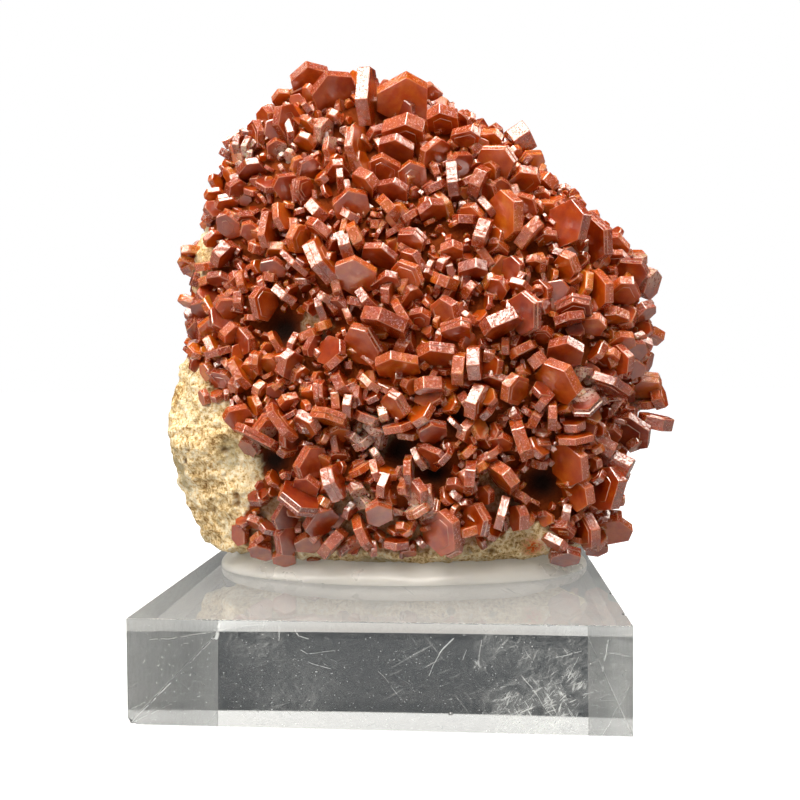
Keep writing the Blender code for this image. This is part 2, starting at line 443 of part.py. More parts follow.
    (-17.0, -32.4, 3.6, 1.6, 270, 60, 0, 0.0),
]
SMALLEST_SOLID = 6.1        # crystals narrower than this are left off the solid
FULLER = 1.14               # the neighbours hide part of each crystal's true width
BITE = 1.0                  # how deep a crystal's root goes into the rock
FRONT_REACH = 2.4           # how far at most a crystal's centre stands off the rock
GROWTH_STEPS = (1.06, 1.12, 1.2, 1.3, 1.4)
LINK_SEED = 11
LINK_TRIES = 1500
LINK_JOINS = (4, 3, 2)      # groups that a crystal between them must join, easing off
LINK_WIDTH = (7.0, 9.5)
LINK_REACH = 0.8
LINK_LEAN = (0.0, 55.0)     # how far their axes lean from the rock's own facing
SMALLEST_BODY = 12.0        # cubic mm; chips left by the cut are smaller
LOW_CRYSTALS = 33.0         # crystals centred below this height may press into the putty

# Crystals on the top and flanks, which don't show from the front.
FLANK_SEED = 4
FLANK_COUNT = 38
FLANK_SPACING = 4.6
FLANK_WIDTH = (5.6, 8.8)
FLANK_THICKNESS = (0.25, 0.42)      # as a share of the width
FLANK_REACH = 2.2
FLANK_LEAN = (35.0, 85.0)
FLANK_TRIES = 20000
FLANK_TURNED = 0.30         # rock that faces the eye more than this is left to the list

BARE_FOOT = 29.0            # the rock is bare below this height,
BARE_BACK = 9.0             # behind this depth,
BARE_LEFT = -34.0           # and to the left of this, as far up as
BARE_LEFT_TOP = 66.0
SCATTER_CLIMB = (0.05, 0.995)       # shares of the rock's height
CONTACT = 0.1               # how deep crystals must meet to have grown together
CLEAR_OF_ROCK = 0.8         # and how far off the rock


def material(name, colour, roughness, metallic=0.0):
    """A plain Principled material in the piece's own colour."""
    made = bpy.data.materials.new(name)
    made.use_nodes = True
    shader = made.node_tree.nodes["Principled BSDF"]
    shader.inputs["Base Color"].default_value = (*colour, 1.0)
    shader.inputs["Roughness"].default_value = roughness
    shader.inputs["Metallic"].default_value = metallic
    return made


def add_object(name, form, collection, finish=None):
    """Turns a bmesh in millimetres into a named object in metres."""
    bmesh.ops.scale(form, vec=(MM, MM, MM), verts=form.verts)
    mesh = bpy.data.meshes.new(name)
    form.to_mesh(mesh)
    form.free()
    made = bpy.data.objects.new(name, mesh)
    collection.objects.link(made)
    if finish:
        mesh.materials.append(finish)
    return made


def hide_cutter(cutter):
    """A cutter shapes other pieces and is no piece of its own."""
    cutter.hide_render = True
    cutter.display_type = "WIRE"


def subtract(piece, cutter, self_union=False):
    """Cuts one object out of another."""
    cut = piece.modifiers.new("cut by " + cutter.name, "BOOLEAN")
    cut.operation = "DIFFERENCE"
    cut.solver = "EXACT"
    cut.use_self = self_union
    cut.object = cutter


def sight_axes():
    """The line of sight and the directions right and up across it."""
    forward = Vector((
        -math.sin(SIGHT_YAW) * math.cos(SIGHT_PITCH),
        math.cos(SIGHT_YAW) * math.cos(SIGHT_PITCH),
        math.sin(SIGHT_PITCH),
    ))
    level = Vector((math.cos(SIGHT_YAW), math.sin(SIGHT_YAW), 0.0))
    right = Matrix.Rotation(-SIGHT_ROLL, 3, forward) @ level
    return forward, right, right.cross(forward)


FORWARD, RIGHT, UP = sight_axes()


def sight_ray(across, up):
    """Unit direction from the eye through a point of the sight plane."""
    return (FORWARD * SIGHT_DISTANCE + RIGHT * across + UP * up).normalized()


def seen_at(point):
    """Where a point shows on the sight plane: across and up."""
    away = point - EYE
    depth = away.dot(FORWARD)
    return (away.dot(RIGHT) / depth * SIGHT_DISTANCE, away.dot(UP) / depth * SIGHT_DISTANCE)


def in_outline(point):
    """True where a point shows inside the outline of the specimen."""
    across, up = seen_at(point)
    inside = False
    for (x1, y1), (x2, y2) in zip(OUTLINE, OUTLINE[1:] + OUTLINE[:1]):
        if (y1 > up) != (y2 > up) and across < x1 + (up - y1) / (y2 - y1) * (x2 - x1):
            inside = not inside
    return inside


# ---------------------------------------------------------------- the rock

def section_at(height):
    """Left, right, front and back of the rock at a height, eased between the sections."""
    if height <= ROCK_SECTIONS[0][0]:
        return ROCK_SECTIONS[0][1:]
    for low, high in zip(ROCK_SECTIONS, ROCK_SECTIONS[1:]):
        if height <= high[0]:
            share = (height - low[0]) / (high[0] - low[0])
            return [a + (b - a) * share for a, b in zip(low[1:], high[1:])]
    return ROCK_SECTIONS[-1][1:]


def rounded_square(turn, squareness):
    """A point of a circle pushed out towards a square."""
    across = math.copysign(abs(math.cos(turn)) ** squareness, math.cos(turn))
    along = math.copysign(abs(math.sin(turn)) ** squareness, math.sin(turn))
    return across, along


def rock_point(turn, climb):
    """A point of the rock: turn is the angle about Z, climb runs 0 to 1 from foot to top."""
    height = ROCK_BOTTOM + (ROCK_TOP - ROCK_BOTTOM) * climb
    left, right, front, back = section_at(height)
    early = ROCK_FOOT if climb < 0.5 else ROCK_CROWN
    closing = min(1.0, math.sqrt(max(0.0, 1.0 - (2.0 * climb - 1.0) ** 2)) / early) ** 0.75
    across, along = rounded_square(turn, ROCK_SQUARENESS)
    middle = (left + right) / 2.0
    reach = (right - left) / 2.0
    deep = (back if along > 0.0 else -front) + (-1 if along > 0.0 else 1) * ROCK_EDGE_DEPTH
    point = Vector((
        middle + reach * across * closing,
        ROCK_EDGE_DEPTH + deep * along * closing,
        height,
    ))
    lump = noise.noise(point / ROCK_LUMP_SIZE) + 0.5 * noise.noise(point / ROCK_LUMP_SIZE * 2.3)
    outward = Vector((across / max(reach, 1.0), along / max(deep, 1.0), 0.0))
    if outward.length > 0.0:
        outward.normalize()
    point += outward * (lump * ROCK_LUMP * min(1.0, closing * 1.2))
    for turned, raised, distance in ROCK_BREAKS:
        turned = math.radians(turned)
        raised = math.radians(raised)
        facing = Vector((math.cos(turned) * math.cos(raised),
                         math.sin(turned) * math.cos(raised), math.sin(raised)))
        beyond = (point - ROCK_MIDDLE).dot(facing) - distance
        if beyond > 0.0:
            point -= facing * (beyond * BREAK_SHARPNESS)
    return point


def sink_hollows(form):
    """Pushes the front of the rock in where the crystals leave deep hollows."""
    for across, up, radius, depth in HOLLOWS:
        ray = sight_ray(across, up)
        for vert in form.verts:
            if vert.co.y > 0.0:
                continue
            along = (vert.co - EYE).dot(ray)
            off = (vert.co - EYE - ray * along).length
            if off < radius * HOLLOW_RIM:
                fade = 0.5 + 0.5 * math.cos(math.pi * off / (radius * HOLLOW_RIM))
                vert.co += ray * depth * fade


def rock_form(grow=0.0):
    """The rock, or the rock swollen evenly to leave a gap around it."""
    form = bmesh.new()
    bmesh.ops.create_uvsphere(form, u_segments=ROCK_COLUMNS, v_segments=ROCK_ROWS, radius=1.0)
    for vert in form.verts:
        turn = math.atan2(vert.co.y, vert.co.x)
        vert.co = rock_point(turn, (vert.co.z + 1.0) / 2.0)
    sink_hollows(form)
    bmesh.ops.triangulate(form, faces=form.faces[:])
    form.normal_update()
    if grow:
        moved = [vert.co + vert.normal * grow for vert in form.verts]
        for vert, place in zip(form.verts, moved):
            vert.co = place
    return form


# ---------------------------------------------------------------- the crystals

class Crystal:
    """A six-sided prism: axis runs through its end faces, corner points at one edge."""

    def __init__(self, centre, axis, corner, width, thickness):
        self.centre = centre
        self.axis = axis.normalized()
        self.side = self.axis.cross(corner).normalized()
        self.front = self.side.cross(self.axis).normalized()
        self.width = width
        self.thickness = thickness
        self.reach = math.hypot(width, thickness) / 2.0

    def add_to(self, form):
        """Adds the prism to a bmesh."""
        turned = Matrix((self.front, self.side, self.axis)).transposed().to_4x4()
        bmesh.ops.create_cone(
            form, cap_ends=True, segments=6, radius1=self.width / 2.0,
            radius2=self.width / 2.0, depth=self.thickness,
            matrix=Matrix.Translation(self.centre) @ turned,
        )

    def holds(self, point, margin):
        """True where a point lies inside, at least the margin from every face."""
        local = point - self.centre
        if abs(local.dot(self.axis)) > self.thickness / 2.0 - margin:
            return False
        flat = self.width * math.sqrt(0.75) / 2.0 - margin
        for turn in (30.0, 90.0, 150.0):
            turn = math.radians(turn)
            out = self.front * math.cos(turn) + self.side * math.sin(turn)
            if abs(local.dot(out)) > flat:
                return False
        return True

    def grown(self, factor):
        """The same crystal, larger by a factor."""
        return Crystal(self.centre, self.axis, self.front,
                       self.width * factor, self.thickness * factor)

    def swollen(self, gap):
        """The same crystal with every face moved out by a gap."""
        return Crystal(self.centre, self.axis, self.front,
                       self.width + 2.0 * gap / math.sqrt(0.75), self.thickness + 2.0 * gap)

    def corners(self):
        """The six corners of one end, then those of the other."""
        ends = []
        for level in (-0.5, 0.5):
            for index in range(6):
                turn = math.radians(60.0 * index)
                out = self.front * math.cos(turn) + self.side * math.sin(turn)
                ends.append(self.centre + self.axis * level * self.thickness
                            + out * self.width / 2.0)
        return ends

    def in_outline(self):
        """True where the whole crystal shows inside the outline of the specimen."""
        return all(in_outline(corner) for corner in self.corners())

    def edge_points(self):
        """Points along its edges, close enough together to test for a neighbour."""
        ends = self.corners()
        pairs = [(index, (index + 1) % 6) for index in range(6)]
        pairs += [(a + 6, b + 6) for a, b in pairs]
        pairs += [(index, index + 6) for index in range(6)]
        return [ends[a].lerp(ends[b], share) for a, b in pairs
                for share in (0.0, 0.25, 0.5, 0.75)]


def crystal_axes(leaning, facing, spin):
    """Axis and corner directions of a crystal seen from the front."""
    toward = -FORWARD
    leaning = math.radians(leaning)
    facing = math.radians(facing)
    flat = RIGHT * math.cos(leaning) + UP * math.sin(leaning)
    axis = flat * math.cos(facing) + toward * math.sin(facing)
    corner = toward * math.cos(facing) - flat * math.sin(facing)
    corner = Matrix.Rotation(math.radians(spin), 3, axis) @ corner
    return axis, corner


def height_over(rock, point):
    """How far a point stands off the rock, below zero inside it."""
    nearest, normal, _, distance = rock.find_nearest(point)
    if (point - nearest).dot(normal) < 0.0:
        return -distance
    return distance


def lay_on_rock(rock, across, up, clearance):
    """First point on the line of sight that is as near to the rock as the clearance."""
    ray = sight_ray(across, up)
    best = None
    for step in range(SIGHT_STEPS):
        point = EYE + ray * (SIGHT_START + SIGHT_STEP * step)
        distance = height_over(rock, point)
        if distance <= clearance:
            return point
        if best is None or distance < best[0]:
            best = (distance, point)
    return best[1]


def front_crystals(rock):
    """The crystals of the list, each rooted in the rock."""
    made = []
    for across, up, width, thickness, leaning, facing, spin, lift in CRYSTALS:
        if width < SMALLEST_SOLID and thickness < SMALLEST_SOLID:
            continue
        axis, corner = crystal_axes(leaning, facing, spin)
        turn = math.radians(facing)
        reach = thickness / 2.0 * math.sin(turn) + width / 2.0 * math.cos(turn)
        centre = lay_on_rock(rock, across, up, min(reach - BITE, FRONT_REACH) + lift)
        scale = (centre - EYE).length / SIGHT_DISTANCE
        crystal = Crystal(centre, axis, corner, width * scale, thickness * scale)
        fuller = crystal.grown(FULLER)
        made.append(fuller if fuller.in_outline() else crystal)
    return made


def bare(point):
    """True where the rock shows: its left flank low down, its foot and its back."""
    if point.z < BARE_FOOT or point.y > BARE_BACK:
        return True
    return point.x < BARE_LEFT and point.z < BARE_LEFT_TOP


def rock_normal(turn, climb):
    """The way the rock faces at a point, or nothing at its poles."""
    along = rock_point(turn + 0.02, climb) - rock_point(turn - 0.02, climb)
    rise = rock_point(turn, min(1.0, climb + 0.01)) - rock_point(turn, climb - 0.01)
    normal = along.cross(rise)
    return normal.normalized() if normal.length > 1e-6 else None


def scattered_crystal(dice, widths, leans, stand_off):
    """A crystal at a random place on the rock, with the way the rock faces there."""
    turn = dice.uniform(-math.pi, math.pi)
    climb = dice.uniform(*SCATTER_CLIMB)
    width = dice.uniform(*widths)
    thickness = width * dice.uniform(*FLANK_THICKNESS)
    lean = math.radians(dice.uniform(*leans))
    swing = dice.uniform(-math.pi, math.pi)
    point = rock_point(turn, climb)
    normal = rock_normal(turn, climb)
    if normal is None or bare(point):
        return None, None
    flat = Matrix.Rotation(swing, 3, normal) @ normal.orthogonal().normalized()
    axis = normal * math.cos(lean) + flat * math.sin(lean)
    corner = normal * math.sin(lean) - flat * math.cos(lean)
    reach = thickness / 2.0 * math.cos(lean) + width / 2.0 * math.sin(lean)
    centre = point + normal * min(reach - BITE, stand_off)
    return Crystal(centre, axis, corner, width, thickness), normal


def flank_crystals():
    """Crystals scattered by rule over the top and the flanks."""
    dice = random.Random(FLANK_SEED)
    made = []
    for _ in range(FLANK_TRIES):
        if len(made) == FLANK_COUNT:
            break
        crystal, normal = scattered_crystal(dice, FLANK_WIDTH, FLANK_LEAN, FLANK_REACH)
        if crystal is None or normal.dot(-FORWARD) > FLANK_TURNED:
            continue
        if not crystal.in_outline():
            continue
        if all((crystal.centre - other.centre).length > FLANK_SPACING for other in made):
            made.append(crystal)
    return made


def grown_together(first, second, rock):
    """True where two crystals run into each other clear of the rock."""
    if (first.centre - second.centre).length > first.reach + second.reach:
        return False
    for one, other in ((first, second), (second, first)):
        for point in one.edge_points():
            if other.holds(point, CONTACT) and height_over(rock, point) > CLEAR_OF_ROCK:
                return True
    return False


class Druse:
    """The crystals with a note of which of them have grown together."""

    def __init__(self, crystals, rock):
        self.rock = rock
        self.planned = crystals
        self.crystals = []
        self.group = []
        for crystal in crystals:
            self.add(crystal, self.touched(crystal))

    def touched(self, crystal, skip=-1):
        """The groups that a crystal runs into."""
        return {self.group[index] for index, other in enumerate(self.crystals)
                if index != skip and grown_together(crystal, other, self.rock)}

    def merge(self, groups):
        """Makes several groups one."""
        kept = min(groups)
        self.group = [kept if value in groups else value for value in self.group]
        return kept

    def add(self, crystal, groups):
        """Takes in a crystal and whatever it joins."""
        self.crystals.append(crystal)
        self.group.append(len(self.group))
        self.merge(set(groups) | {self.group[-1]})

    def main_group(self):
        """The group with the most crystals."""
        return max(set(self.group), key=self.group.count)

    def grow_lone_crystals(self):
        """Lets the crystals outside the main group grow on until they meet another."""
        for factor in GROWTH_STEPS:
            for index in range(len(self.crystals)):
                if self.group[index] == self.main_group():
                    continue
                grown = self.planned[index].grown(factor)
                if not grown.in_outline():
                    continue
                found = self.touched(grown, skip=index) - {self.group[index]}
                if found:
                    self.crystals[index] = grown
                    self.merge(found | {self.group[index]})

    def fill_gaps(self):
        """Adds crystals low between the groups where one of them joins several."""
        dice = random.Random(LINK_SEED)
        for fewest in LINK_JOINS:
            for _ in range(LINK_TRIES):
                crystal, _ = scattered_crystal(dice, LINK_WIDTH, LINK_LEAN, LINK_REACH)
                if crystal is None:
                    continue
                found = self.touched(crystal)
                if len(found) >= fewest:
                    self.add(crystal, found)


def loose_parts(mesh):
    """The separate closed bodies of a mesh, each as a bmesh, largest first."""
    whole = bmesh.new()
    whole.from_mesh(mesh)
    whole.verts.ensure_lookup_table()
    unseen = set(range(len(whole.verts)))
    groups = []
    while unseen:
        start = unseen.pop()
        group = {start}
        queue = [start]
        while queue:
            vert = whole.verts[queue.pop()]
            for edge in vert.link_edges:
                other = edge.other_vert(vert).index
                if other in unseen:
                    unseen.remove(other)
                    group.add(other)
                    queue.append(other)
        groups.append(group)
    groups.sort(key=len, reverse=True)
    parts = []
    for group in groups:
        part = whole.copy()
        part.verts.ensure_lookup_table()
        rest = [vert for vert in part.verts if vert.index not in group]
        bmesh.ops.delete(part, geom=rest, context="VERTS")
        parts.append(part)
    whole.free()
    return parts


def grow_druse():
    """Every crystal of the part, in its final place and size."""
    rock = BVHTree.FromBMesh(rock_form())
    druse = Druse(front_crystals(rock) + flank_crystals(), rock)
    druse.grow_lone_crystals()
    druse.fill_gaps()
    return druse.crystals


def add_prisms(name, crystals, collection):
    """Crystals as one object of separate prisms."""
    form = bmesh.new()
    for crystal in crystals:
        crystal.add_to(form)
    return add_object(name, form, collection)


def make_crystals(crystals, parts, cutters, rock_cutter, finish):
    """The crystals, joined where they grow through each other and cut off at the rock."""
    rough = add_prisms("crystals_uncut", crystals, cutters)
    subtract(rough, rock_cutter, self_union=True)
    depsgraph = bpy.context.evaluated_depsgraph_get()
    cut = bpy.data.meshes.new_from_object(rough.evaluated_get(depsgraph))
    bpy.data.objects.remove(rough)
    count = 0
    for body in loose_parts(cut):
        if body.calc_volume() > SMALLEST_BODY * MM ** 3:
            name = "vanadinite_crystals" if count == 0 else "vanadinite_cluster_%02d" % count
            count += 1
            mesh = bpy.data.meshes.new(name)
            body.to_mesh(mesh)
            mesh.materials.clear()
            mesh.materials.append(finish)
            parts.objects.link(bpy.data.objects.new(name, mesh))
        body.free()


# ---------------------------------------------------------------- the putty and the block

def make_putty(parts, rock_cutter, crystal_cutter, finish):
    """Half a ball pressed flat: widest on the block, and dished by the foot of the rock."""
    form = bmesh.new()
    bmesh.ops.create_uvsphere(form, u_segments=PUTTY_COLUMNS, v_segments=PUTTY_ROWS, radius=1.0)
    bmesh.ops.delete(form, geom=[vert for vert in form.verts if vert.co.z < -0.01],
                     context="VERTS")
    bmesh.ops.contextual_create(form, geom=[edge for edge in form.edges if edge.is_boundary])
    bottom = BLOCK_HEIGHT + GAP
    for vert in form.verts:
        turn = math.atan2(vert.co.y, vert.co.x)
        rim = min(1.0, math.hypot(vert.co.x, vert.co.y))
        lobes = 1.0 + PUTTY_LOBES * math.sin(5.0 * turn + 0.6) * math.cos(2.0 * turn)
        spread = rim ** PUTTY_FLATNESS * lobes
        across, along = rounded_square(turn, PUTTY_SQUARENESS)
        vert.co = Vector((
            PUTTY_CENTRE[0] + PUTTY_HALF_WIDTH * across * spread,
            PUTTY_CENTRE[1] + PUTTY_HALF_DEPTH * along * spread,
            bottom + PUTTY_HEIGHT * vert.co.z,
        ))
    bmesh.ops.recalc_face_normals(form, faces=form.faces[:])
    putty = add_object("mounting_putty", form, parts, finish)
    subtract(putty, rock_cutter)
    subtract(putty, crystal_cutter, self_union=True)
    return putty


def make_block(parts, finish):
    """The clear block, with softened edges."""
    bpy.ops.mesh.primitive_cube_add(size=1.0, location=(0.0, 0.0, BLOCK_HEIGHT * MM / 2.0))
    block = bpy.context.object
    block.name = "acrylic_block"
    block.data.name = "acrylic_block"
    for vert in block.data.vertices:
        vert.co.x *= BLOCK_WIDTH * MM
        vert.co.y *= BLOCK_DEPTH * MM
        vert.co.z *= BLOCK_HEIGHT * MM
    edge = block.modifiers.new("edge", "BEVEL")
    edge.width = BLOCK_EDGE * MM
    edge.segments = 1
    for old in block.users_collection:
        old.objects.unlink(block)
    parts.objects.link(block)
    block.data.materials.append(finish)
    return block


def main():
    for old in list(bpy.data.objects):
        bpy.data.objects.remove(old)
    parts = bpy.data.collections.new("vanadinite_on_matrix")
    cutters = bpy.data.collections.new("cutters")
    for collection in (parts, cutters):
        bpy.context.scene.collection.children.link(collection)

    stone = material("matrix_stone", (0.62, 0.47, 0.25), 0.9)
    crystal = material("vanadinite", (0.42, 0.07, 0.02), 0.25)
    silicone = material("putty", (0.66, 0.66, 0.60), 0.4)
    acrylic = material("acrylic", (0.9, 0.93, 0.93), 0.05)

    add_object("matrix", rock_form(), parts, stone)
    rock_cutter = add_object("matrix_and_gap", rock_form(grow=GAP), cutters)
    hide_cutter(rock_cutter)
    crystals = grow_druse()
    make_crystals(crystals, parts, cutters, rock_cutter, crystal)
    low = [one.swollen(GAP) for one in crystals if one.centre.z < LOW_CRYSTALS]
    crystal_cutter = add_prisms("low_crystals_and_gap", low, cutters)
    hide_cutter(crystal_cutter)
    make_putty(parts, rock_cutter, crystal_cutter, silicone)
    make_block(parts, acrylic)


main()
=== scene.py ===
# %% [markdown]
# # Vanadinite crystals on their matrix
#
# A druse is a crust of crystals that grew on the wall of a crack in the rock. This one is
# vanadinite: stubby six-sided prisms, brown-red to orange, stacked and tilted every way on
# a cream and tan rock. The specimen is bedded in milky putty on a square acrylic block.
#
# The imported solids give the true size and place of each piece. Everything below is written
# in millimetres and turned into metres where a mesh is made.

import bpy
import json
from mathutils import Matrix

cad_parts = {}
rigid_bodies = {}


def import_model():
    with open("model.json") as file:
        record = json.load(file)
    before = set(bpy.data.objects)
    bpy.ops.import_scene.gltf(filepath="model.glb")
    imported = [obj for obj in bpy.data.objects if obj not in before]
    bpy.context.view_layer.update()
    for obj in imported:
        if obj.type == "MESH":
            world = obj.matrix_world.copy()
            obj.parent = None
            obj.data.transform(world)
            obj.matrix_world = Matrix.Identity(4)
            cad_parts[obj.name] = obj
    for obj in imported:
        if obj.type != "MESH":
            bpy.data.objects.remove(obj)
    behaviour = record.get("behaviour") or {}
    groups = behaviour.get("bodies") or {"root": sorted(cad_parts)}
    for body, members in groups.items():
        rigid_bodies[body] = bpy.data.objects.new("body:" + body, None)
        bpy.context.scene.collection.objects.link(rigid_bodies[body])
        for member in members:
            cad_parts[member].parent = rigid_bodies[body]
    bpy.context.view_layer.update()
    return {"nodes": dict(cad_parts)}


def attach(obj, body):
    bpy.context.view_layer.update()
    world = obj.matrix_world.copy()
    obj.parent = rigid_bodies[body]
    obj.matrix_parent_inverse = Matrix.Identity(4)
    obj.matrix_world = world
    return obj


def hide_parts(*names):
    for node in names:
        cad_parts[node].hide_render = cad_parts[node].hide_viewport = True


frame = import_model()

# %% Units and tools
import json
import math
import random

import bmesh
import bpy
from mathutils import Matrix, Vector, noise
from mathutils.bvhtree import BVHTree

MM = 0.001
GAP = 0.3                   # between pieces that touch


def inside(polygon, across, up):
    """True where a place across and up lies in a polygon."""
    held = False
    for (x1, y1), (x2, y2) in zip(polygon, polygon[1:] + polygon[:1]):
        if (y1 > up) != (y2 > up) and across < x1 + (up - y1) / (y2 - y1) * (x2 - x1):
            held = not held
    return held


def add_object(name, mesh):
    """Links a mesh as an object at the origin."""
    made = bpy.data.objects.new(name, mesh)
    bpy.context.scene.collection.objects.link(made)
    return made


def mesh_of(name, form):
    """Turns a bmesh in millimetres into a mesh in metres."""
    bmesh.ops.scale(form, vec=(MM, MM, MM), verts=form.verts)
    mesh = bpy.data.meshes.new(name)
    form.to_mesh(mesh)
    form.free()
    return mesh


def baked(piece):
    """Replaces an object's mesh by what its modifiers make of it."""
    depsgraph = bpy.context.evaluated_depsgraph_get()
    mesh = bpy.data.meshes.new_from_object(piece.evaluated_get(depsgraph))
    piece.modifiers.clear()
    old = piece.data
    piece.data = mesh
    bpy.data.meshes.remove(old)
    return piece


def set_in_place(piece, slot, *nodes):
    """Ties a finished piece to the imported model."""
    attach(piece, "root")
    if nodes:
        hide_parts(*nodes)
    piece.data.calc_loop_triangles()
    print(piece.name, len(piece.data.loop_triangles), "triangles")


# %% [markdown]
# ## Shader maths as expressions
#
# A pattern is easier to read as `dust * 0.5 + scratches` than as a row of linked nodes.
# `Link` wraps one output socket. Its operators add Math nodes, and `Tree.node` adds any
# other node: its settings go in first, then the values or links of its sockets.

# %% The wrapper
class Link:
    """An output socket that can stand in a Python expression."""

    def __init__(self, tree, socket):
        self.tree = tree
        self.socket = socket

    def math(self, operation, *others):
        """A Math node with this output first."""
        values = dict(enumerate((self,) + others))
        return self.tree.node("ShaderNodeMath", {"operation": operation}, values)

    def flipped(self, operation, other):
        """A Math node with this output second."""
        return self.tree.node("ShaderNodeMath", {"operation": operation}, {0: other, 1: self})

    def __add__(self, other):
        return self.math("ADD", other)

    def __radd__(self, other):
        return self.math("ADD", other)

    def __sub__(self, other):
        return self.math("SUBTRACT", other)

    def __rsub__(self, other):
        return self.flipped("SUBTRACT", other)

    def __mul__(self, other):
        return self.math("MULTIPLY", other)

    def __rmul__(self, other):
        return self.math("MULTIPLY", other)

    def __pow__(self, other):
        return self.math("POWER", other)

    def __lt__(self, other):
        return self.math("LESS_THAN", other)


class Tree:
    """A node tree: node() adds any node, and the rest are short ways to common ones."""

    def __init__(self, nodes_of):
        self.tree = nodes_of

    def node(self, kind, settings=None, sockets=None, out=0):
        """Adds a node and gives one of its outputs."""
        made = self.tree.nodes.new(kind)
        for name, value in (settings or {}).items():
            if name == "stops":
                self.set_stops(made.color_ramp, value)
            else:
                setattr(made, name, value)
        for name, value in (sockets or {}).items():
            socket = made.inputs[name]
            if isinstance(value, Link):
                self.tree.links.new(value.socket, socket)
            else:
                socket.default_value = value
        return Link(self, made.outputs[out]) if made.outputs else None

    @staticmethod
    def set_stops(ramp, stops):
        """Fills a colour ramp."""
        while len(ramp.elements) < len(stops):
            ramp.elements.new(1.0)
        for element, (place, colour) in zip(ramp.elements, stops):
            element.position = place
            element.color = (*colour, 1.0) if len(colour) == 3 else colour

    def mix(self, first, second, share):
        """Blends two colours."""
        first, second = [(*colour, 1.0) if isinstance(colour, tuple) else colour
                         for colour in (first, second)]
        return self.node("ShaderNodeMix", {"data_type": "RGBA"},
                         {0: share, 6: first, 7: second}, out=2)

    def smooth(self, value, low, high):
        """0 below low, 1 above high, and smooth between."""
        return self.node("ShaderNodeMapRange", {"interpolation_type": "SMOOTHSTEP"},
                         {0: value, 1: low, 2: high, 3: 0.0, 4: 1.0})

    def noise(self, where, scale, detail=3.0, roughness=0.55):
        """Cloudy values round 0.5; the scale is in lumps per metre."""
        return self.node("ShaderNodeTexNoise", None, {
            "Vector": where, "Scale": scale, "Detail": detail, "Roughness": roughness,
        })

    def stretched(self, where, turn, scale):
        """Coordinates turned and then multiplied along the three turned axes."""
        return self.node("ShaderNodeMapping", {"vector_type": "TEXTURE"},
                         {"Vector": where, "Rotation": turn,
                          "Scale": tuple(1.0 / along for along in scale)})

    def vector(self, operation, first, second, out=0):
        """Vector Math on two vectors."""
        return self.node("ShaderNodeVectorMath", {"operation": operation},
                         {0: first, 1: second}, out=out)

    def distance(self, first, second):
        """How far two points are apart."""
        return self.vector("DISTANCE", first, second, out=1)

    def scaled(self, vector, factor):
        """A vector times a number."""
        return self.node("ShaderNodeVectorMath", {"operation": "SCALE"},
                         {0: vector, "Scale": factor})

    def part(self, vector, axis):
        """One coordinate of a vector: X, Y or Z."""
        return self.node("ShaderNodeSeparateXYZ", None, {"Vector": vector}, out=axis)

    def kept(self, name, out="Fac"):
        """What the points or corners of a mesh keep under a name."""
        return self.node("ShaderNodeAttribute", {"attribute_name": name}, out=out)

    def ray(self, kind):
        """1 for rays of one kind, such as those from the camera."""
        return self.node("ShaderNodeLightPath", out="Is %s Ray" % kind)

    def colours(self, stops, value):
        """A colour read from a row of stops, each a place and a colour."""
        return self.node("ShaderNodeValToRGB", {"stops": stops}, {"Fac": value})

    @staticmethod
    def strongest(masks):
        """The greatest of several masks."""
        best = None
        for mask in masks:
            best = mask if best is None else best.math("MAXIMUM", mask)
        return best

    def bump(self, height, distance, strength=1.0):
        """A normal tilted by a height."""
        return self.node("ShaderNodeBump", None, {
            "Height": height, "Distance": distance, "Strength": strength,
        })


def start_material(name):
    """An empty material, its tree and where the pattern is read."""
    made = bpy.data.materials.new(name)
    made.use_nodes = True
    made.node_tree.nodes.clear()
    tree = Tree(made.node_tree)
    place = tree.node("ShaderNodeTexCoord", out="Object")
    return made, tree, place


def end_material(tree, surface):
    """Joins the finished shader to the output."""
    tree.node("ShaderNodeOutputMaterial", None, {"Surface": surface})


print("shader helpers ready")

# %% [markdown]
# ## Where the eye is
#
# The front of the druse was laid out along lines of sight: each crystal stands where the
# line from one eye point, through a place on a plane held across it, meets the rock. The
# same eye point is the camera's place, so the view is set here once.

# %% The eye and the sight plane
EYE = Vector((16.81, -196.82, 62.30))
SIGHT_YAW = math.radians(4.496)
SIGHT_PITCH = math.radians(-1.703)
SIGHT_ROLL = math.radians(-0.3975)
SIGHT_DISTANCE = 177.25
SIGHT_START = 150.0         # the rock is looked for from here on,
SIGHT_STEP = 0.4            # in steps of this length
SIGHT_STEPS = 220


def sight_axes():
    """The line of sight and the directions right and up across it."""
    forward = Vector((
        -math.sin(SIGHT_YAW) * math.cos(SIGHT_PITCH),
        math.cos(SIGHT_YAW) * math.cos(SIGHT_PITCH),
        math.sin(SIGHT_PITCH),
    ))
    level = Vector((math.cos(SIGHT_YAW), math.sin(SIGHT_YAW), 0.0))
    right = Matrix.Rotation(-SIGHT_ROLL, 3, forward) @ level
    return forward, right, right.cross(forward)


FORWARD, RIGHT, UP = sight_axes()


def sight_ray(across, up):
    """Unit direction from the eye through a point of the sight plane."""
    return (FORWARD * SIGHT_DISTANCE + RIGHT * across + UP * up).normalized()


def seen_at(point):
    """Where a point shows on the sight plane: across and up."""
    away = point - EYE
    depth = away.dot(FORWARD)
    return (away.dot(RIGHT) / depth * SIGHT_DISTANCE, away.dot(UP) / depth * SIGHT_DISTANCE)


# %% [markdown]
# ## The form of the rock
#
# The rock is one lump with no rule to its shape, so it is given as the reach of a few level
# sections, with lumps on it, broken faces behind and hollows in front. This is the form of
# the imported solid, worked out again because the crystals are rooted in it.

# %% Sections of the rock
ROCK_BOTTOM = 21.9
ROCK_TOP = 125.0
ROCK_COLUMNS = 24           # facets around the rock
ROCK_ROWS = 18              # facets from its foot to its top
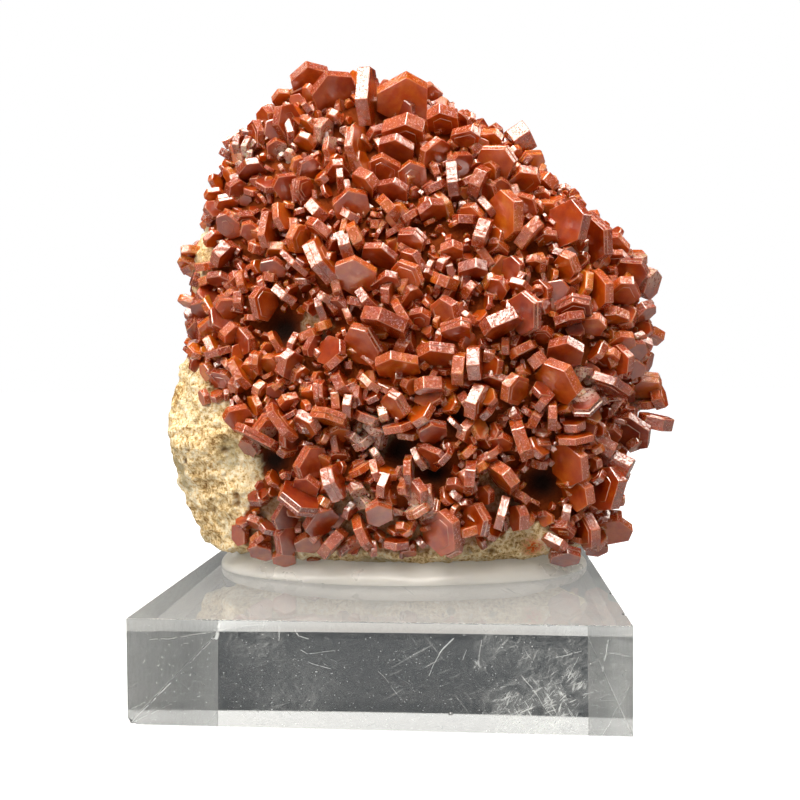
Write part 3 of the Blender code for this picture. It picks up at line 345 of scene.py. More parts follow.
# The rock's reach at a few heights: height, left, right, front, back.
ROCK_SECTIONS = [
    (21.9, -41.0, 42.0, -14.5, 19.0),
    (27.0, -45.5, 45.0, -17.0, 21.5),
    (38.0, -48.5, 47.0, -20.5, 24.0),
    (50.0, -51.5, 50.5, -22.0, 25.0),
    (60.0, -50.0, 53.0, -22.0, 24.5),
    (67.0, -44.5, 53.0, -21.5, 24.0),
    (78.0, -43.5, 53.0, -20.5, 22.0),
    (88.0, -46.5, 50.0, -18.5, 20.0),
    (98.0, -41.5, 39.5, -15.5, 17.0),
    (110.0, -36.5, 27.5, -11.5, 13.5),
    (118.0, -29.5, 14.0, -8.0, 10.5),
    (125.0, -22.0, 5.0, -5.0, 8.0),
]
ROCK_FOOT = 0.22            # how early the rock closes in at its foot, and at its top
ROCK_CROWN = 0.42
ROCK_BLUNTNESS = 0.75       # below 1 it closes in late and all at once
ROCK_EDGE_DEPTH = 2.0       # where the rock is widest, measured along Y
ROCK_SQUARENESS = 0.82      # below 1 its plan is squarer than an ellipse
ROCK_LUMP = 1.8             # height of its lumps
ROCK_LUMP_SIZE = 15.0       # and their size
ROCK_LUMP_FINER = 2.3       # smaller lumps on them: so many times finer,
ROCK_LUMP_LESS = 0.5        # and with this share of the height
ROCK_MIDDLE = Vector((2.0, 2.0, 68.0))
# Broken faces on the back: the way each looks (turn about Z, rise) and its distance
# from the middle.
ROCK_BREAKS = [
    (72.0, 6.0, 20.5),
    (112.0, -10.0, 20.0),
    (95.0, 26.0, 27.0),
    (60.0, -28.0, 36.0),
    (140.0, 12.0, 33.0),
    (38.0, 20.0, 42.0),
]
BREAK_SHARPNESS = 0.9       # 1 cuts each broken face quite flat
# Hollows between the crystals: across, up (both on the sight plane), radius, depth.
HOLLOWS = [
    (0.0, -10.0, 6.0, 7.0),
    (7.0, -14.5, 5.0, 5.0),
    (-25.0, -12.0, 5.0, 4.0),
    (-23.0, 14.0, 6.0, 4.0),
    (11.5, -4.0, 4.0, 4.0),
    (28.5, -16.5, 6.0, 5.0),
]
HOLLOW_RIM = 1.6            # each fades out at this many times its radius
# The outline of the whole specimen on the same plane, clockwise from its lower left.
OUTLINE = [
    (-38.0, -31.0), (-41.0, -27.0), (-42.0, -20.0), (-44.0, -12.0), (-46.0, -5.0),
    (-45.5, 1.0), (-44.0, 6.5), (-41.5, 11.0), (-42.0, 15.0), (-41.5, 20.0),
    (-43.5, 27.0), (-41.0, 32.0), (-38.0, 38.0), (-36.5, 46.0), (-35.0, 51.0),
    (-31.0, 54.0), (-28.0, 57.5), (-24.0, 62.0), (-19.0, 66.5), (-14.0, 67.0),
    (-8.0, 66.0), (-4.0, 64.0), (-1.0, 65.5), (4.0, 65.5), (7.0, 60.0), (12.0, 57.5),
    (15.0, 54.5), (20.0, 53.5), (26.0, 55.5), (28.0, 51.0), (30.0, 44.0), (35.0, 40.5),
    (39.0, 37.0), (43.0, 33.5), (48.0, 29.0), (51.0, 25.0), (51.5, 12.0), (52.5, 3.0),
    (55.0, -5.0), (50.0, -8.0), (46.0, -11.0), (47.0, -16.0), (46.5, -27.0), (41.0, -31.0),
]


def in_outline(point):
    """True where a point shows inside the outline of the specimen."""
    return inside(OUTLINE, *seen_at(point))


def section_at(height):
    """Left, right, front and back of the rock at a height, eased between the sections."""
    if height <= ROCK_SECTIONS[0][0]:
        return ROCK_SECTIONS[0][1:]
    for low, high in zip(ROCK_SECTIONS, ROCK_SECTIONS[1:]):
        if height <= high[0]:
            share = (height - low[0]) / (high[0] - low[0])
            return [a + (b - a) * share for a, b in zip(low[1:], high[1:])]
    return ROCK_SECTIONS[-1][1:]


def rounded_square(turn, squareness):
    """A point of a circle pushed out towards a square."""
    across = math.copysign(abs(math.cos(turn)) ** squareness, math.cos(turn))
    along = math.copysign(abs(math.sin(turn)) ** squareness, math.sin(turn))
    return across, along


def rock_point(turn, climb):
    """A point of the rock: turn is the angle about Z, climb runs 0 to 1 from foot to top."""
    height = ROCK_BOTTOM + (ROCK_TOP - ROCK_BOTTOM) * climb
    left, right, front, back = section_at(height)
    early = ROCK_FOOT if climb < 0.5 else ROCK_CROWN
    closing = min(1.0, math.sqrt(max(0.0, 1.0 - (2.0 * climb - 1.0) ** 2)) / early)
    closing **= ROCK_BLUNTNESS
    across, along = rounded_square(turn, ROCK_SQUARENESS)
    middle = (left + right) / 2.0
    reach = (right - left) / 2.0
    deep = (back if along > 0.0 else -front) + (-1 if along > 0.0 else 1) * ROCK_EDGE_DEPTH
    point = Vector((
        middle + reach * across * closing,
        ROCK_EDGE_DEPTH + deep * along * closing,
        height,
    ))
    lump = noise.noise(point / ROCK_LUMP_SIZE)
    lump += ROCK_LUMP_LESS * noise.noise(point / ROCK_LUMP_SIZE * ROCK_LUMP_FINER)
    outward = Vector((across / max(reach, 1.0), along / max(deep, 1.0), 0.0))
    if outward.length > 0.0:
        outward.normalize()
    point += outward * (lump * ROCK_LUMP * min(1.0, closing * 1.2))
    for turned, raised, distance in ROCK_BREAKS:
        turned = math.radians(turned)
        raised = math.radians(raised)
        facing = Vector((math.cos(turned) * math.cos(raised),
                         math.sin(turned) * math.cos(raised), math.sin(raised)))
        beyond = (point - ROCK_MIDDLE).dot(facing) - distance
        if beyond > 0.0:
            point -= facing * (beyond * BREAK_SHARPNESS)
    return point


def sink_hollows(form):
    """Pushes the front of the rock in where the crystals leave deep hollows."""
    for across, up, radius, depth in HOLLOWS:
        ray = sight_ray(across, up)
        for vert in form.verts:
            if vert.co.y > 0.0:
                continue
            along = (vert.co - EYE).dot(ray)
            off = (vert.co - EYE - ray * along).length
            if off < radius * HOLLOW_RIM:
                fade = 0.5 + 0.5 * math.cos(math.pi * off / (radius * HOLLOW_RIM))
                vert.co += ray * depth * fade


def rock_form():
    """The rock as a bmesh of triangles."""
    form = bmesh.new()
    bmesh.ops.create_uvsphere(form, u_segments=ROCK_COLUMNS, v_segments=ROCK_ROWS, radius=1.0)
    for vert in form.verts:
        turn = math.atan2(vert.co.y, vert.co.x)
        vert.co = rock_point(turn, (vert.co.z + 1.0) / 2.0)
    sink_hollows(form)
    bmesh.ops.triangulate(form, faces=form.faces[:])
    form.normal_update()
    return form


ROCK = BVHTree.FromBMesh(rock_form())
print("rock ready, its foot at", ROCK_BOTTOM, "mm")

# %% [markdown]
# ## The listed crystals
#
# The front of the druse is irregular, so its crystals can't follow a rule: they are listed
# one by one, each by what one sees of it. The way the end face leans and how far it turns to
# the eye give the axis of the prism in space.

# %% The list
# Each crystal: across, up, width over its corners, thickness, the way its end face leans
# (degrees, 0 to the right, 90 up), how far that face turns to the eye (0 edge on, 90 face
# on), the turn of its six corners about its axis, and its lift off the rock.
CRYSTALS = [
    # the top edge
    (-17.8, 63.2, 7.8, 2.6, 283, 50, 0, 0.0),
    (-13.6, 61.6, 9.2, 2.6, 295, 55, 0, 1.0),
    (-6.4, 60.2, 11.0, 2.8, 0, 15, 12, 0.0),
    (1.0, 60.2, 11.4, 3.2, 270, 58, 0, 1.0),
    (0.6, 53.2, 9.6, 3.4, 260, 26, 10, 1.0),
    (8.8, 56.0, 6.4, 2.8, 268, 32, 10, 0.5),
    (13.2, 52.2, 6.4, 2.2, 255, 38, 5, 0.5),
    (17.8, 51.6, 5.8, 2.0, 250, 45, 0, 0.0),
    (24.0, 52.2, 6.4, 4.2, 32, 8, 10, 1.0),
    (19.0, 46.8, 9.4, 2.0, 232, 55, 10, 0.5),
    (15.4, 50.2, 3.8, 2.0, 50, 10, 30, 1.0),
    (26.4, 47.6, 5.2, 1.8, 300, 60, 0, 0.0),
    # the upper left shoulder
    (-23.6, 60.4, 4.2, 1.6, 280, 40, 15, 0.0),
    (-22.6, 56.0, 6.8, 2.2, 350, 50, 30, 0.5),
    (-26.8, 56.4, 4.8, 2.0, 200, 45, 0, 0.0),
    (-28.8, 53.0, 5.6, 1.8, 190, 40, 0, 0.0),
    (-34.2, 51.6, 3.0, 2.0, 120, 40, 0, 0.0),
    (-32.0, 50.8, 5.4, 1.6, 355, 12, 20, 0.0),
    (-30.2, 50.2, 5.0, 1.4, 350, 20, 0, 0.0),
    (-34.0, 48.8, 4.0, 1.6, 60, 15, 0, 0.0),
    (-29.6, 46.0, 6.0, 1.8, 290, 30, 10, 0.0),
    (-28.4, 43.2, 3.6, 1.4, 250, 50, 0, 0.0),
    (-32.4, 42.0, 5.4, 2.0, 320, 45, 10, 0.0),
    (-26.2, 40.8, 2.2, 3.6, 95, 10, 30, 0.0),
    (-34.6, 39.4, 5.2, 1.8, 280, 30, 30, 0.5),
    (-34.0, 35.0, 6.0, 2.2, 250, 60, 10, 0.5),
    (-30.8, 35.6, 5.0, 1.8, 300, 55, 0, 0.0),
    (-38.0, 37.2, 4.4, 1.6, 150, 40, 0, 0.0),
    (-22.6, 42.6, 6.0, 1.8, 305, 60, 0, 0.5),
    (-19.6, 42.4, 5.2, 2.2, 350, 45, 30, 0.8),
    (-18.2, 46.0, 5.4, 1.8, 315, 50, 10, 0.0),
    (-16.6, 38.0, 5.8, 2.6, 45, 15, 10, 0.5),
    (-12.4, 45.6, 5.6, 2.0, 280, 40, 20, 0.0),
    # below the top edge
    (-15.2, 53.6, 5.6, 2.0, 340, 30, 0, -0.5),
    (-8.6, 50.8, 9.8, 2.0, 0, 25, 15, 0.5),
    (-4.0, 52.8, 5.2, 2.0, 300, 40, 10, 0.0),
    (-0.8, 49.6, 8.0, 2.2, 262, 35, 0, 0.5),
    (-3.2, 46.2, 6.4, 2.0, 262, 55, 5, 0.8),
    (2.6, 44.8, 6.2, 1.8, 280, 68, 0, 0.5),
    (7.0, 49.4, 6.8, 2.2, 315, 50, 20, 0.3),
    (7.2, 45.8, 3.0, 1.6, 20, 10, 30, 1.5),
    (12.4, 47.4, 5.4, 2.0, 300, 60, 0, 0.0),
    (10.6, 44.4, 7.0, 2.4, 5, 12, 15, 1.5),
    (7.2, 42.6, 4.2, 1.8, 115, 10, 20, 1.5),
    (15.8, 43.6, 6.6, 2.8, 335, 12, 30, 1.0),
    (18.0, 42.0, 4.2, 1.8, 220, 40, 0, 0.0),
    (21.0, 42.8, 3.2, 1.8, 50, 10, 30, 0.5),
    (24.6, 44.0, 6.6, 2.4, 262, 42, 30, 0.5),
    (29.2, 43.6, 4.8, 2.6, 230, 15, 20, 0.0),
    (28.2, 40.6, 3.6, 1.4, 260, 50, 0, 0.0),
    (-6.8, 43.6, 6.8, 2.6, 225, 18, 10, 0.5),
    (-1.4, 41.6, 6.8, 1.8, 250, 38, 10, 0.5),
    (-9.6, 39.0, 7.6, 2.0, 285, 68, 0, 0.5),
    (-2.2, 38.4, 6.4, 2.4, 42, 8, 30, 1.2),
    (2.0, 36.8, 4.6, 1.8, 122, 8, 30, 1.2),
    (6.6, 38.0, 6.2, 2.2, 290, 35, 0, 0.5),
    (13.0, 36.0, 5.0, 2.0, 88, 8, 30, 0.0),
    (12.6, 38.6, 2.4, 2.0, 0, 10, 0, 0.0),
    (14.8, 38.8, 3.0, 1.8, 100, 15, 0, 0.0),
    (21.0, 36.6, 9.4, 2.8, 190, 42, 15, 1.0),
    (16.6, 33.6, 7.0, 3.0, 342, 15, 20, 1.5),
    # the upper right
    (33.4, 35.2, 10.0, 2.8, 182, 50, 10, 0.8),
    (38.4, 32.4, 9.6, 2.4, 195, 35, 10, 0.3),
    (29.2, 38.0, 4.8, 1.8, 240, 60, 0, 0.0),
    (26.8, 38.4, 4.6, 1.8, 250, 50, 0, 0.0),
    (31.0, 39.6, 4.0, 1.8, 100, 40, 0, 0.0),
    (42.6, 30.6, 6.0, 2.0, 250, 55, 0, 0.0),
    (47.2, 28.4, 4.6, 2.0, 100, 40, 0, 0.0),
    (46.2, 25.0, 7.0, 2.0, 240, 60, 0, 0.5),
    (44.6, 21.8, 6.8, 2.2, 268, 42, 30, 1.0),
    (49.8, 23.2, 6.0, 2.4, 330, 50, 0, 0.0),
    (49.0, 17.8, 5.2, 2.2, 300, 40, 0, 0.0),
    (43.4, 27.8, 5.0, 1.8, 250, 50, 0, 0.0),
    (40.4, 27.6, 4.2, 1.8, 320, 40, 0, 0.0),
    (40.0, 22.0, 7.8, 2.2, 185, 25, 20, 0.5),
    (33.6, 26.6, 5.8, 2.6, 215, 40, 10, 0.5),
    (27.6, 27.4, 5.4, 1.8, 260, 15, 10, 0.0),
    (32.0, 29.4, 4.2, 1.6, 70, 10, 0, 0.5),
    (25.8, 33.2, 6.8, 2.6, 318, 12, 10, 1.0),
    (29.0, 32.0, 4.8, 1.8, 300, 40, 0, -0.5),
    (35.4, 23.0, 3.6, 1.8, 350, 30, 0, -0.5),
    (32.4, 21.2, 2.4, 1.6, 60, 30, 0, 0.5),
    (28.4, 22.0, 4.6, 2.0, 200, 55, 0, -0.5),
    (34.6, 18.2, 7.6, 2.4, 265, 42, 20, 0.3),
    (33.8, 16.0, 6.2, 2.0, 282, 15, 10, 1.0),
    (38.0, 15.0, 6.0, 2.2, 250, 50, 0, 0.0),
    (43.0, 16.6, 6.0, 2.2, 265, 25, 0, 0.0),
    (49.6, 13.0, 6.4, 2.0, 255, 20, 0, 0.0),
    (48.0, 11.0, 5.0, 2.0, 270, 45, 0, 0.0),
    (44.0, 11.4, 5.6, 2.0, 270, 50, 20, 0.0),
    # the upper middle
    (-8.8, 32.8, 6.2, 2.4, 25, 12, 30, 1.0),
    (-10.0, 36.8, 4.6, 1.8, 60, 10, 0, 1.0),
    (-10.6, 30.4, 5.4, 2.8, 15, 10, 0, 1.0),
    (-15.6, 28.2, 9.2, 3.2, 28, 22, 15, 1.2),
    (-16.0, 33.8, 6.6, 2.2, 232, 12, 20, 0.8),
    (-20.4, 32.0, 6.2, 2.2, 340, 40, 20, 0.5),
    (-26.0, 33.6, 8.0, 1.8, 0, 25, 10, 1.0),
    (-23.2, 36.4, 7.2, 1.6, 18, 28, 0, 0.3),
    (-21.0, 27.4, 9.0, 1.4, 48, 8, 0, 0.8),
    (-4.2, 35.2, 4.0, 2.0, 90, 15, 0, -0.5),
    (-1.0, 34.0, 4.4, 1.4, 120, 10, 0, 0.5),
    (2.4, 31.8, 6.4, 2.2, 240, 45, 10, 0.5),
    (1.0, 30.6, 3.0, 1.2, 60, 20, 0, 1.5),
    (-4.2, 28.8, 8.0, 1.8, 250, 38, 0, 0.0),
    (-9.0, 24.8, 9.6, 2.0, 260, 62, 5, 1.0),
    (2.6, 27.4, 6.0, 2.2, 225, 45, 10, 0.0),
    (1.2, 25.2, 7.0, 1.8, 225, 60, 0, 0.8),
    (-2.4, 23.2, 6.8, 2.0, 265, 45, 20, 0.3),
    (10.4, 29.6, 5.2, 2.4, 270, 45, 0, 0.0),
    (8.8, 27.0, 4.4, 2.0, 330, 30, 0, 0.3),
    (8.8, 23.8, 6.0, 2.6, 70, 12, 25, 1.2),
    (5.6, 25.2, 4.4, 2.0, 250, 30, 0, 0.3),
    (11.8, 24.0, 3.4, 1.8, 80, 10, 0, 0.8),
    (14.2, 25.8, 6.8, 2.6, 270, 30, 0, 0.8),
    (14.0, 22.0, 5.4, 2.0, 318, 12, 20, 0.5),
    (19.2, 22.4, 6.0, 2.0, 230, 50, 10, 0.0),
    (22.2, 26.0, 6.0, 2.0, 200, 60, 0, 0.0),
    (19.4, 30.0, 5.4, 1.8, 250, 40, 0, 0.0),
    # the left edge
    (-28.4, 32.8, 4.0, 1.6, 240, 40, 0, 0.0),
    (-29.0, 30.8, 3.0, 2.0, 20, 20, 0, 0.3),
    (-35.0, 29.2, 5.6, 2.6, 318, 15, 20, 0.5),
    (-32.8, 28.8, 2.2, 1.2, 200, 30, 0, 0.0),
    (-39.0, 26.8, 4.0, 1.8, 100, 20, 0, 0.0),
    (-41.0, 24.0, 3.4, 1.6, 160, 30, 0, 0.0),
    (-42.4, 26.4, 3.6, 1.6, 120, 30, 0, 0.0),
    (-32.2, 24.0, 4.4, 2.2, 290, 40, 0, 0.0),
    (-34.2, 23.2, 2.8, 1.8, 40, 20, 0, 0.0),
    (-32.2, 20.2, 4.2, 2.0, 0, 5, 20, 1.0),
    (-26.0, 24.6, 3.0, 2.0, 80, 10, 30, 0.8),
    (-23.2, 21.2, 6.2, 2.0, 52, 10, 10, 1.2),
    (-27.2, 19.4, 7.0, 2.0, 350, 50, 0, 0.8),
    (-39.4, 20.4, 4.8, 1.4, 130, 10, 0, 0.0),
    (-38.6, 18.2, 6.0, 2.2, 260, 50, 0, 0.0),
    (-34.2, 18.8, 6.0, 2.2, 300, 60, 0, 0.0),
    (-39.6, 13.8, 4.8, 2.4, 185, 30, 10, 0.0),
    (-33.6, 13.4, 5.0, 2.4, 320, 40, 20, 0.0),
    (-40.6, 9.8, 3.8, 1.8, 60, 40, 0, 0.0),
    (-36.0, 9.8, 6.2, 1.6, 105, 12, 0, 0.3),
    (-31.2, 11.8, 5.4, 2.0, 200, 55, 0, 0.0),
    (-28.8, 7.6, 5.6, 2.2, 355, 8, 20, 1.0),
    (-25.8, 7.6, 4.4, 2.0, 250, 60, 0, 0.0),
    (-22.0, 7.4, 6.6, 2.4, 330, 35, 0, 0.8),
    (-24.8, 11.8, 5.2, 1.4, 28, 8, 0, 0.8),
    (-21.2, 11.4, 4.4, 1.6, 340, 15, 0, 0.0),
    (-17.4, 10.6, 5.0, 1.8, 345, 45, 10, 0.3),
    (-36.4, 0.8, 2.8, 1.8, 100, 50, 0, 0.3),
    (-39.0, 0.4, 3.4, 1.6, 200, 40, 0, 0.0),
    (-35.6, 4.4, 5.2, 2.0, 240, 55, 0, 0.0),
    (-38.4, 5.6, 4.4, 1.8, 200, 50, 0, 0.0),
    (-31.8, 5.4, 7.0, 2.0, 30, 12, 20, 0.8),
    (-33.8, 7.0, 4.6, 1.6, 45, 10, 0, 0.3),
    (-32.6, 3.0, 4.0, 1.8, 350, 30, 0, 0.0),
    (-27.8, 2.4, 3.8, 2.0, 330, 25, 0, 0.3),
    (-24.2, 3.2, 3.8, 1.4, 130, 10, 0, 0.5),
    (-32.4, -3.4, 6.4, 2.0, 305, 60, 0, 0.3),
    (-28.4, -7.6, 10.0, 2.0, 243, 15, 20, 0.5),
    (-30.0, -9.4, 4.8, 1.8, 230, 45, 0, -0.3),
    (-28.6, -10.0, 2.0, 1.6, 60, 20, 0, 0.5),
    (-26.4, -5.2, 6.0, 2.4, 300, 55, 0, 0.0),
    (-23.8, -4.2, 9.0, 2.0, 38, 8, 25, 1.0),
    (-23.0, -6.6, 2.0, 1.6, 40, 10, 0, 2.0),
    # the middle
    (-6.4, 20.2, 5.8, 2.2, 40, 18, 0, 0.3),
    (-2.0, 21.4, 5.4, 2.2, 350, 30, 0, 0.0),
    (2.2, 21.0, 4.8, 2.0, 300, 40, 10, 0.3),
    (-14.6, 20.4, 4.6, 2.0, 60, 12, 0, 1.0),
    (-15.6, 18.4, 5.6, 1.8, 15, 12, 0, 0.3),
    (-12.8, 18.6, 5.6, 2.2, 250, 50, 0, 0.0),
    (-3.2, 15.4, 10.6, 3.2, 250, 14, 10, 1.5),
    (0.4, 17.4, 6.0, 2.0, 32, 10, 30, 1.5),
    (-7.8, 11.0, 9.2, 2.2, 225, 58, 10, 1.0),
    (-13.8, 9.6, 7.4, 2.2, 160, 62, 0, 0.3),
    (-13.0, 7.8, 5.0, 2.0, 130, 8, 20, 1.2),
    (8.8, 17.8, 6.6, 2.6, 215, 55, 0, 0.5),
    (3.8, 16.4, 5.2, 2.0, 260, 50, 0, 0.0),
    (11.6, 14.0, 7.2, 2.4, 265, 35, 10, 0.5),
    (13.6, 16.2, 4.2, 1.4, 230, 15, 0, 0.3),
    (8.2, 12.6, 3.8, 1.8, 340, 30, 0, 0.0),
    (0.6, 10.6, 4.6, 2.8, 330, 20, 0, 0.0),
    (20.2, 15.2, 8.8, 3.2, 296, 25, 20, 1.2),
    (24.8, 17.8, 9.0, 2.4, 195, 55, 10, 1.0),
    (23.6, 22.4, 5.6, 1.6, 240, 25, 0, 0.3),
    (7.6, 9.0, 8.6, 2.6, 268, 35, 20, 0.8),
    (0.0, 6.8, 9.2, 2.4, 270, 38, 10, 0.8),
    (4.8, 7.2, 3.0, 2.0, 40, 20, 0, 1.5),
    (11.8, 6.4, 6.8, 2.8, 355, 12, 20, 1.2),
    (15.0, 7.2, 7.6, 3.0, 2, 15, 10, 1.2),
    (18.0, 8.8, 3.4, 2.6, 350, 20, 0, 0.5),
    (21.2, 10.8, 4.2, 1.8, 0, 15, 0, 0.5),
    (19.4, 10.8, 3.0, 1.6, 110, 20, 0, 0.5),
    (23.2, 11.0, 4.0, 2.0, 350, 40, 0, 0.0),
    (28.8, 13.0, 4.4, 2.0, 250, 50, 0, 0.0),
    (33.2, 9.6, 8.4, 2.6, 255, 50, 10, 0.5),
    (36.6, 6.0, 3.8, 1.6, 80, 15, 0, 0.3),
    (-20.0, 5.2, 4.4, 1.8, 320, 40, 0, 0.0),
    (-10.4, 7.0, 2.0, 1.8, 90, 10, 30, 1.0),
    (-5.8, 3.4, 5.2, 1.8, 52, 10, 0, 0.3),
    (-2.2, 2.4, 4.0, 1.8, 75, 15, 0, 0.0),
    (-11.8, 3.4, 6.0, 2.4, 28, 12, 20, 1.0),
    (-15.8, 1.2, 6.0, 2.2, 5, 12, 20, 1.0),
    (-18.0, 1.6, 3.6, 2.0, 260, 50, 0, 0.0),
    (-18.2, 3.2, 2.6, 1.2, 90, 15, 0, 0.5),
    (-22.2, -0.2, 4.4, 2.0, 300, 40, 0, 0.0),
    (-12.6, 0.0, 5.4, 2.0, 5, 10, 30, 0.8),
    (-10.2, -1.0, 5.4, 2.0, 355, 10, 0, 1.0),
    (-8.4, 0.8, 4.4, 2.4, 10, 30, 0, 0.0),
    (-1.0, -1.0, 7.6, 2.4, 225, 35, 0, 0.5),
    (6.0, 2.6, 6.6, 3.0, 272, 22, 20, 0.5),
    (7.4, 1.0, 2.4, 1.6, 70, 20, 0, 1.0),
    (9.2, -0.2, 3.4, 1.8, 30, 30, 0, 0.0),
    (4.4, -2.4, 6.8, 2.0, 135, 35, 0, 0.5),
    (6.6, -6.2, 6.2, 2.2, 280, 58, 0, 0.3),
    (15.4, -0.2, 7.8, 2.8, 340, 30, 10, 0.8),
    (17.4, -2.0, 5.6, 1.8, 140, 12, 0, 0.3),
    (23.0, 2.2, 7.0, 2.4, 330, 50, 10, 0.5),
    (27.6, 7.8, 4.2, 3.0, 305, 15, 0, 0.8),
    (32.0, 3.4, 10.6, 2.8, 222, 42, 10, 1.0),
    (36.4, -0.2, 7.4, 2.2, 110, 55, 0, 0.0),
    # the right edge
    (49.2, 7.6, 4.8, 2.0, 340, 40, 0, 0.0),
    (43.8, 8.4, 6.4, 2.2, 200, 50, 0, 0.3),
    (41.4, 8.6, 5.4, 2.0, 250, 40, 0, 0.0),
    (43.6, 5.2, 2.8, 1.8, 5, 10, 0, 0.5),
    (41.2, 3.2, 9.0, 2.0, 245, 10, 0, 1.0),
    (48.6, 2.6, 6.4, 2.2, 280, 55, 0, 0.5),
    (48.2, -0.8, 6.0, 1.8, 95, 10, 0, 0.3),
    (51.8, 0.6, 5.4, 2.2, 20, 40, 0, 0.0),
    (40.4, 0.6, 3.4, 1.4, 30, 10, 0, 0.0),
    (43.0, -1.2, 4.2, 1.6, 320, 12, 0, 0.0),
    (46.4, -6.2, 8.6, 1.8, 236, 50, 30, 0.8),
    (51.2, -4.4, 7.0, 2.8, 80, 12, 10, 0.5),
    (47.4, -8.6, 4.6, 1.8, 300, 35, 0, 0.0),
    (42.6, -11.8, 3.8, 9.0, 332, 30, 0, 0.5),
    (40.6, -9.2, 3.6, 5.6, 330, 20, 0, 0.3),
    (41.2, -17.6, 9.4, 3.0, 180, 48, 10, 0.3),
    (39.4, -15.2, 4.0, 1.6, 140, 20, 0, 0.8),
    (42.0, -6.4, 5.0, 2.0, 250, 50, 0, -0.5),
    # the lower right
    (27.2, -3.6, 4.6, 2.2, 330, 15, 0, 0.3),
    (28.6, -0.6, 5.4, 2.0, 320, 12, 0, 0.5),
    (30.4, -3.2, 6.0, 2.0, 0, 10, 20, 0.8),
    (34.6, -4.8, 5.4, 2.0, 100, 30, 0, 0.0),
    (35.2, -7.6, 7.8, 1.6, 95, 12, 0, 0.5),
    (34.0, -12.4, 8.8, 2.6, 200, 52, 10, 0.8),
    (35.4, -18.2, 8.0, 2.6, 195, 38, 20, 1.2),
    (40.4, -22.8, 3.8, 1.6, 60, 50, 0, 0.8),
    (42.2, -26.0, 8.0, 2.2, 260, 68, 0, 0.3),
    (39.4, -29.6, 4.6, 1.8, 280, 55, 0, 0.0),
    (37.6, -26.0, 7.4, 2.4, 190, 20, 10, 0.5),
    (32.4, -26.0, 5.4, 2.0, 250, 50, 0, 0.0),
    (33.4, -22.4, 4.6, 2.0, 350, 20, 0, 0.3),
    (33.0, -31.4, 6.4, 2.2, 270, 50, 0, 0.0),
    (31.0, -28.6, 5.4, 1.8, 235, 25, 0, 0.3),
    (23.8, -23.6, 6.4, 2.4, 185, 25, 10, 0.5),
    (23.8, -19.2, 5.0, 2.0, 235, 12, 0, 0.8),
    (20.4, -15.0, 8.0, 2.8, 220, 18, 20, 1.0),
    (20.4, -22.6, 7.0, 2.0, 345, 12, 0, 1.0),
    (28.6, -11.0, 2.2, 1.6, 60, 20, 0, 0.0),
    (28.0, -9.4, 5.0, 2.0, 290, 50, 0, 0.0),
    (28.0, -12.6, 3.8, 2.0, 80, 20, 0, 0.3),
    (24.2, -7.6, 9.0, 3.0, 18, 10, 25, 1.2),
    (23.0, -2.6, 3.2, 2.2, 30, 30, 0, 1.0),
    (19.0, -5.6, 2.6, 1.8, 20, 20, 0, 0.5),
    (19.8, -8.4, 5.4, 2.0, 260, 55, 0, 0.0),
    (16.8, -8.0, 3.6, 1.8, 230, 40, 0, 0.0),
    (17.4, -12.0, 5.2, 1.8, 285, 35, 0, 0.0),
    (11.2, -4.8, 5.6, 1.2, 48, 8, 0, 0.8),
    (13.4, -6.2, 4.6, 2.4, 330, 40, 0, 0.3),
    (14.0, -15.6, 7.0, 2.4, 355, 8, 30, 1.0),
    (12.6, -12.8, 2.4, 1.4, 320, 20, 0, 0.5),
    (11.0, -17.2, 4.4, 2.0, 260, 45, 0, 0.0),
    (11.2, -18.8, 3.2, 1.8, 50, 15, 0, 0.3),
    (17.0, -18.8, 4.6, 2.0, 200, 50, 0, -0.3),
    (13.0, -20.8, 4.0, 1.6, 270, 30, 0, 0.0),
    (11.4, -22.6, 2.4, 1.6, 40, 20, 0, 0.3),
    (15.2, -24.4, 7.6, 2.4, 190, 50, 0, 0.5),
    (8.6, -26.4, 9.6, 2.6, 200, 58, 10, 0.8),
    (6.0, -21.0, 5.0, 2.0, 150, 50, 0, 0.0),
    (4.4, -28.4, 2.6, 1.6, 45, 15, 0, 0.8),
    (3.6, -21.8, 5.8, 2.2, 122, 8, 30, 1.0),
    (3.2, -18.4, 5.8, 2.4, 200, 45, 0, 0.5),
    (1.8, -14.4, 7.0, 1.8, 2, 10, 15, 0.8),
    (6.4, -11.4, 7.0, 1.8, 230, 45, 0, 0.3),
    (8.8, -11.2, 5.2, 1.6, 140, 12, 20, 1.0),
    (4.0, -11.4, 5.4, 1.6, 30, 20, 0, 0.3),
    (0.8, -26.0, 5.0, 1.8, 260, 40, 0, 0.0),
    (-0.4, -28.6, 5.4, 1.8, 88, 10, 0, 0.5),
    (1.6, -30.2, 3.8, 1.6, 270, 40, 0, 0.0),
    # the lower left
    (-0.8, -5.4, 7.0, 1.8, 105, 12, 0, 0.5),
    (-5.0, -5.6, 5.0, 2.0, 60, 30, 0, 0.3),
    (-4.0, -8.2, 3.8, 2.2, 330, 40, 0, 0.5),
    (-7.6, -8.0, 5.4, 2.2, 120, 30, 0, 0.0),
    (-13.8, -3.6, 8.0, 2.6, 255, 18, 10, 1.0),
    (-16.6, -5.4, 2.6, 1.4, 30, 10, 0, 1.0),
    (-18.6, -5.0, 6.4, 2.4, 225, 40, 0, 0.0),
    (-12.0, -6.4, 5.6, 2.2, 280, 50, 0, 0.3),
    (-15.0, -7.6, 4.6, 2.0, 300, 40, 0, 0.0),
    (-17.8, -12.4, 7.8, 2.2, 345, 58, 10, 0.5),
    (-13.2, -16.4, 7.6, 3.0, 20, 15, 0, 0.8),
    (-12.6, -11.4, 5.0, 1.8, 280, 50, 0, -0.3),
    (-8.2, -14.0, 5.2, 1.6, 118, 8, 0, 0.5),
    (-9.0, -16.0, 3.4, 1.2, 60, 15, 0, 0.0),
    (-3.2, -17.0, 5.6, 2.0, 345, 20, 0, 0.3),
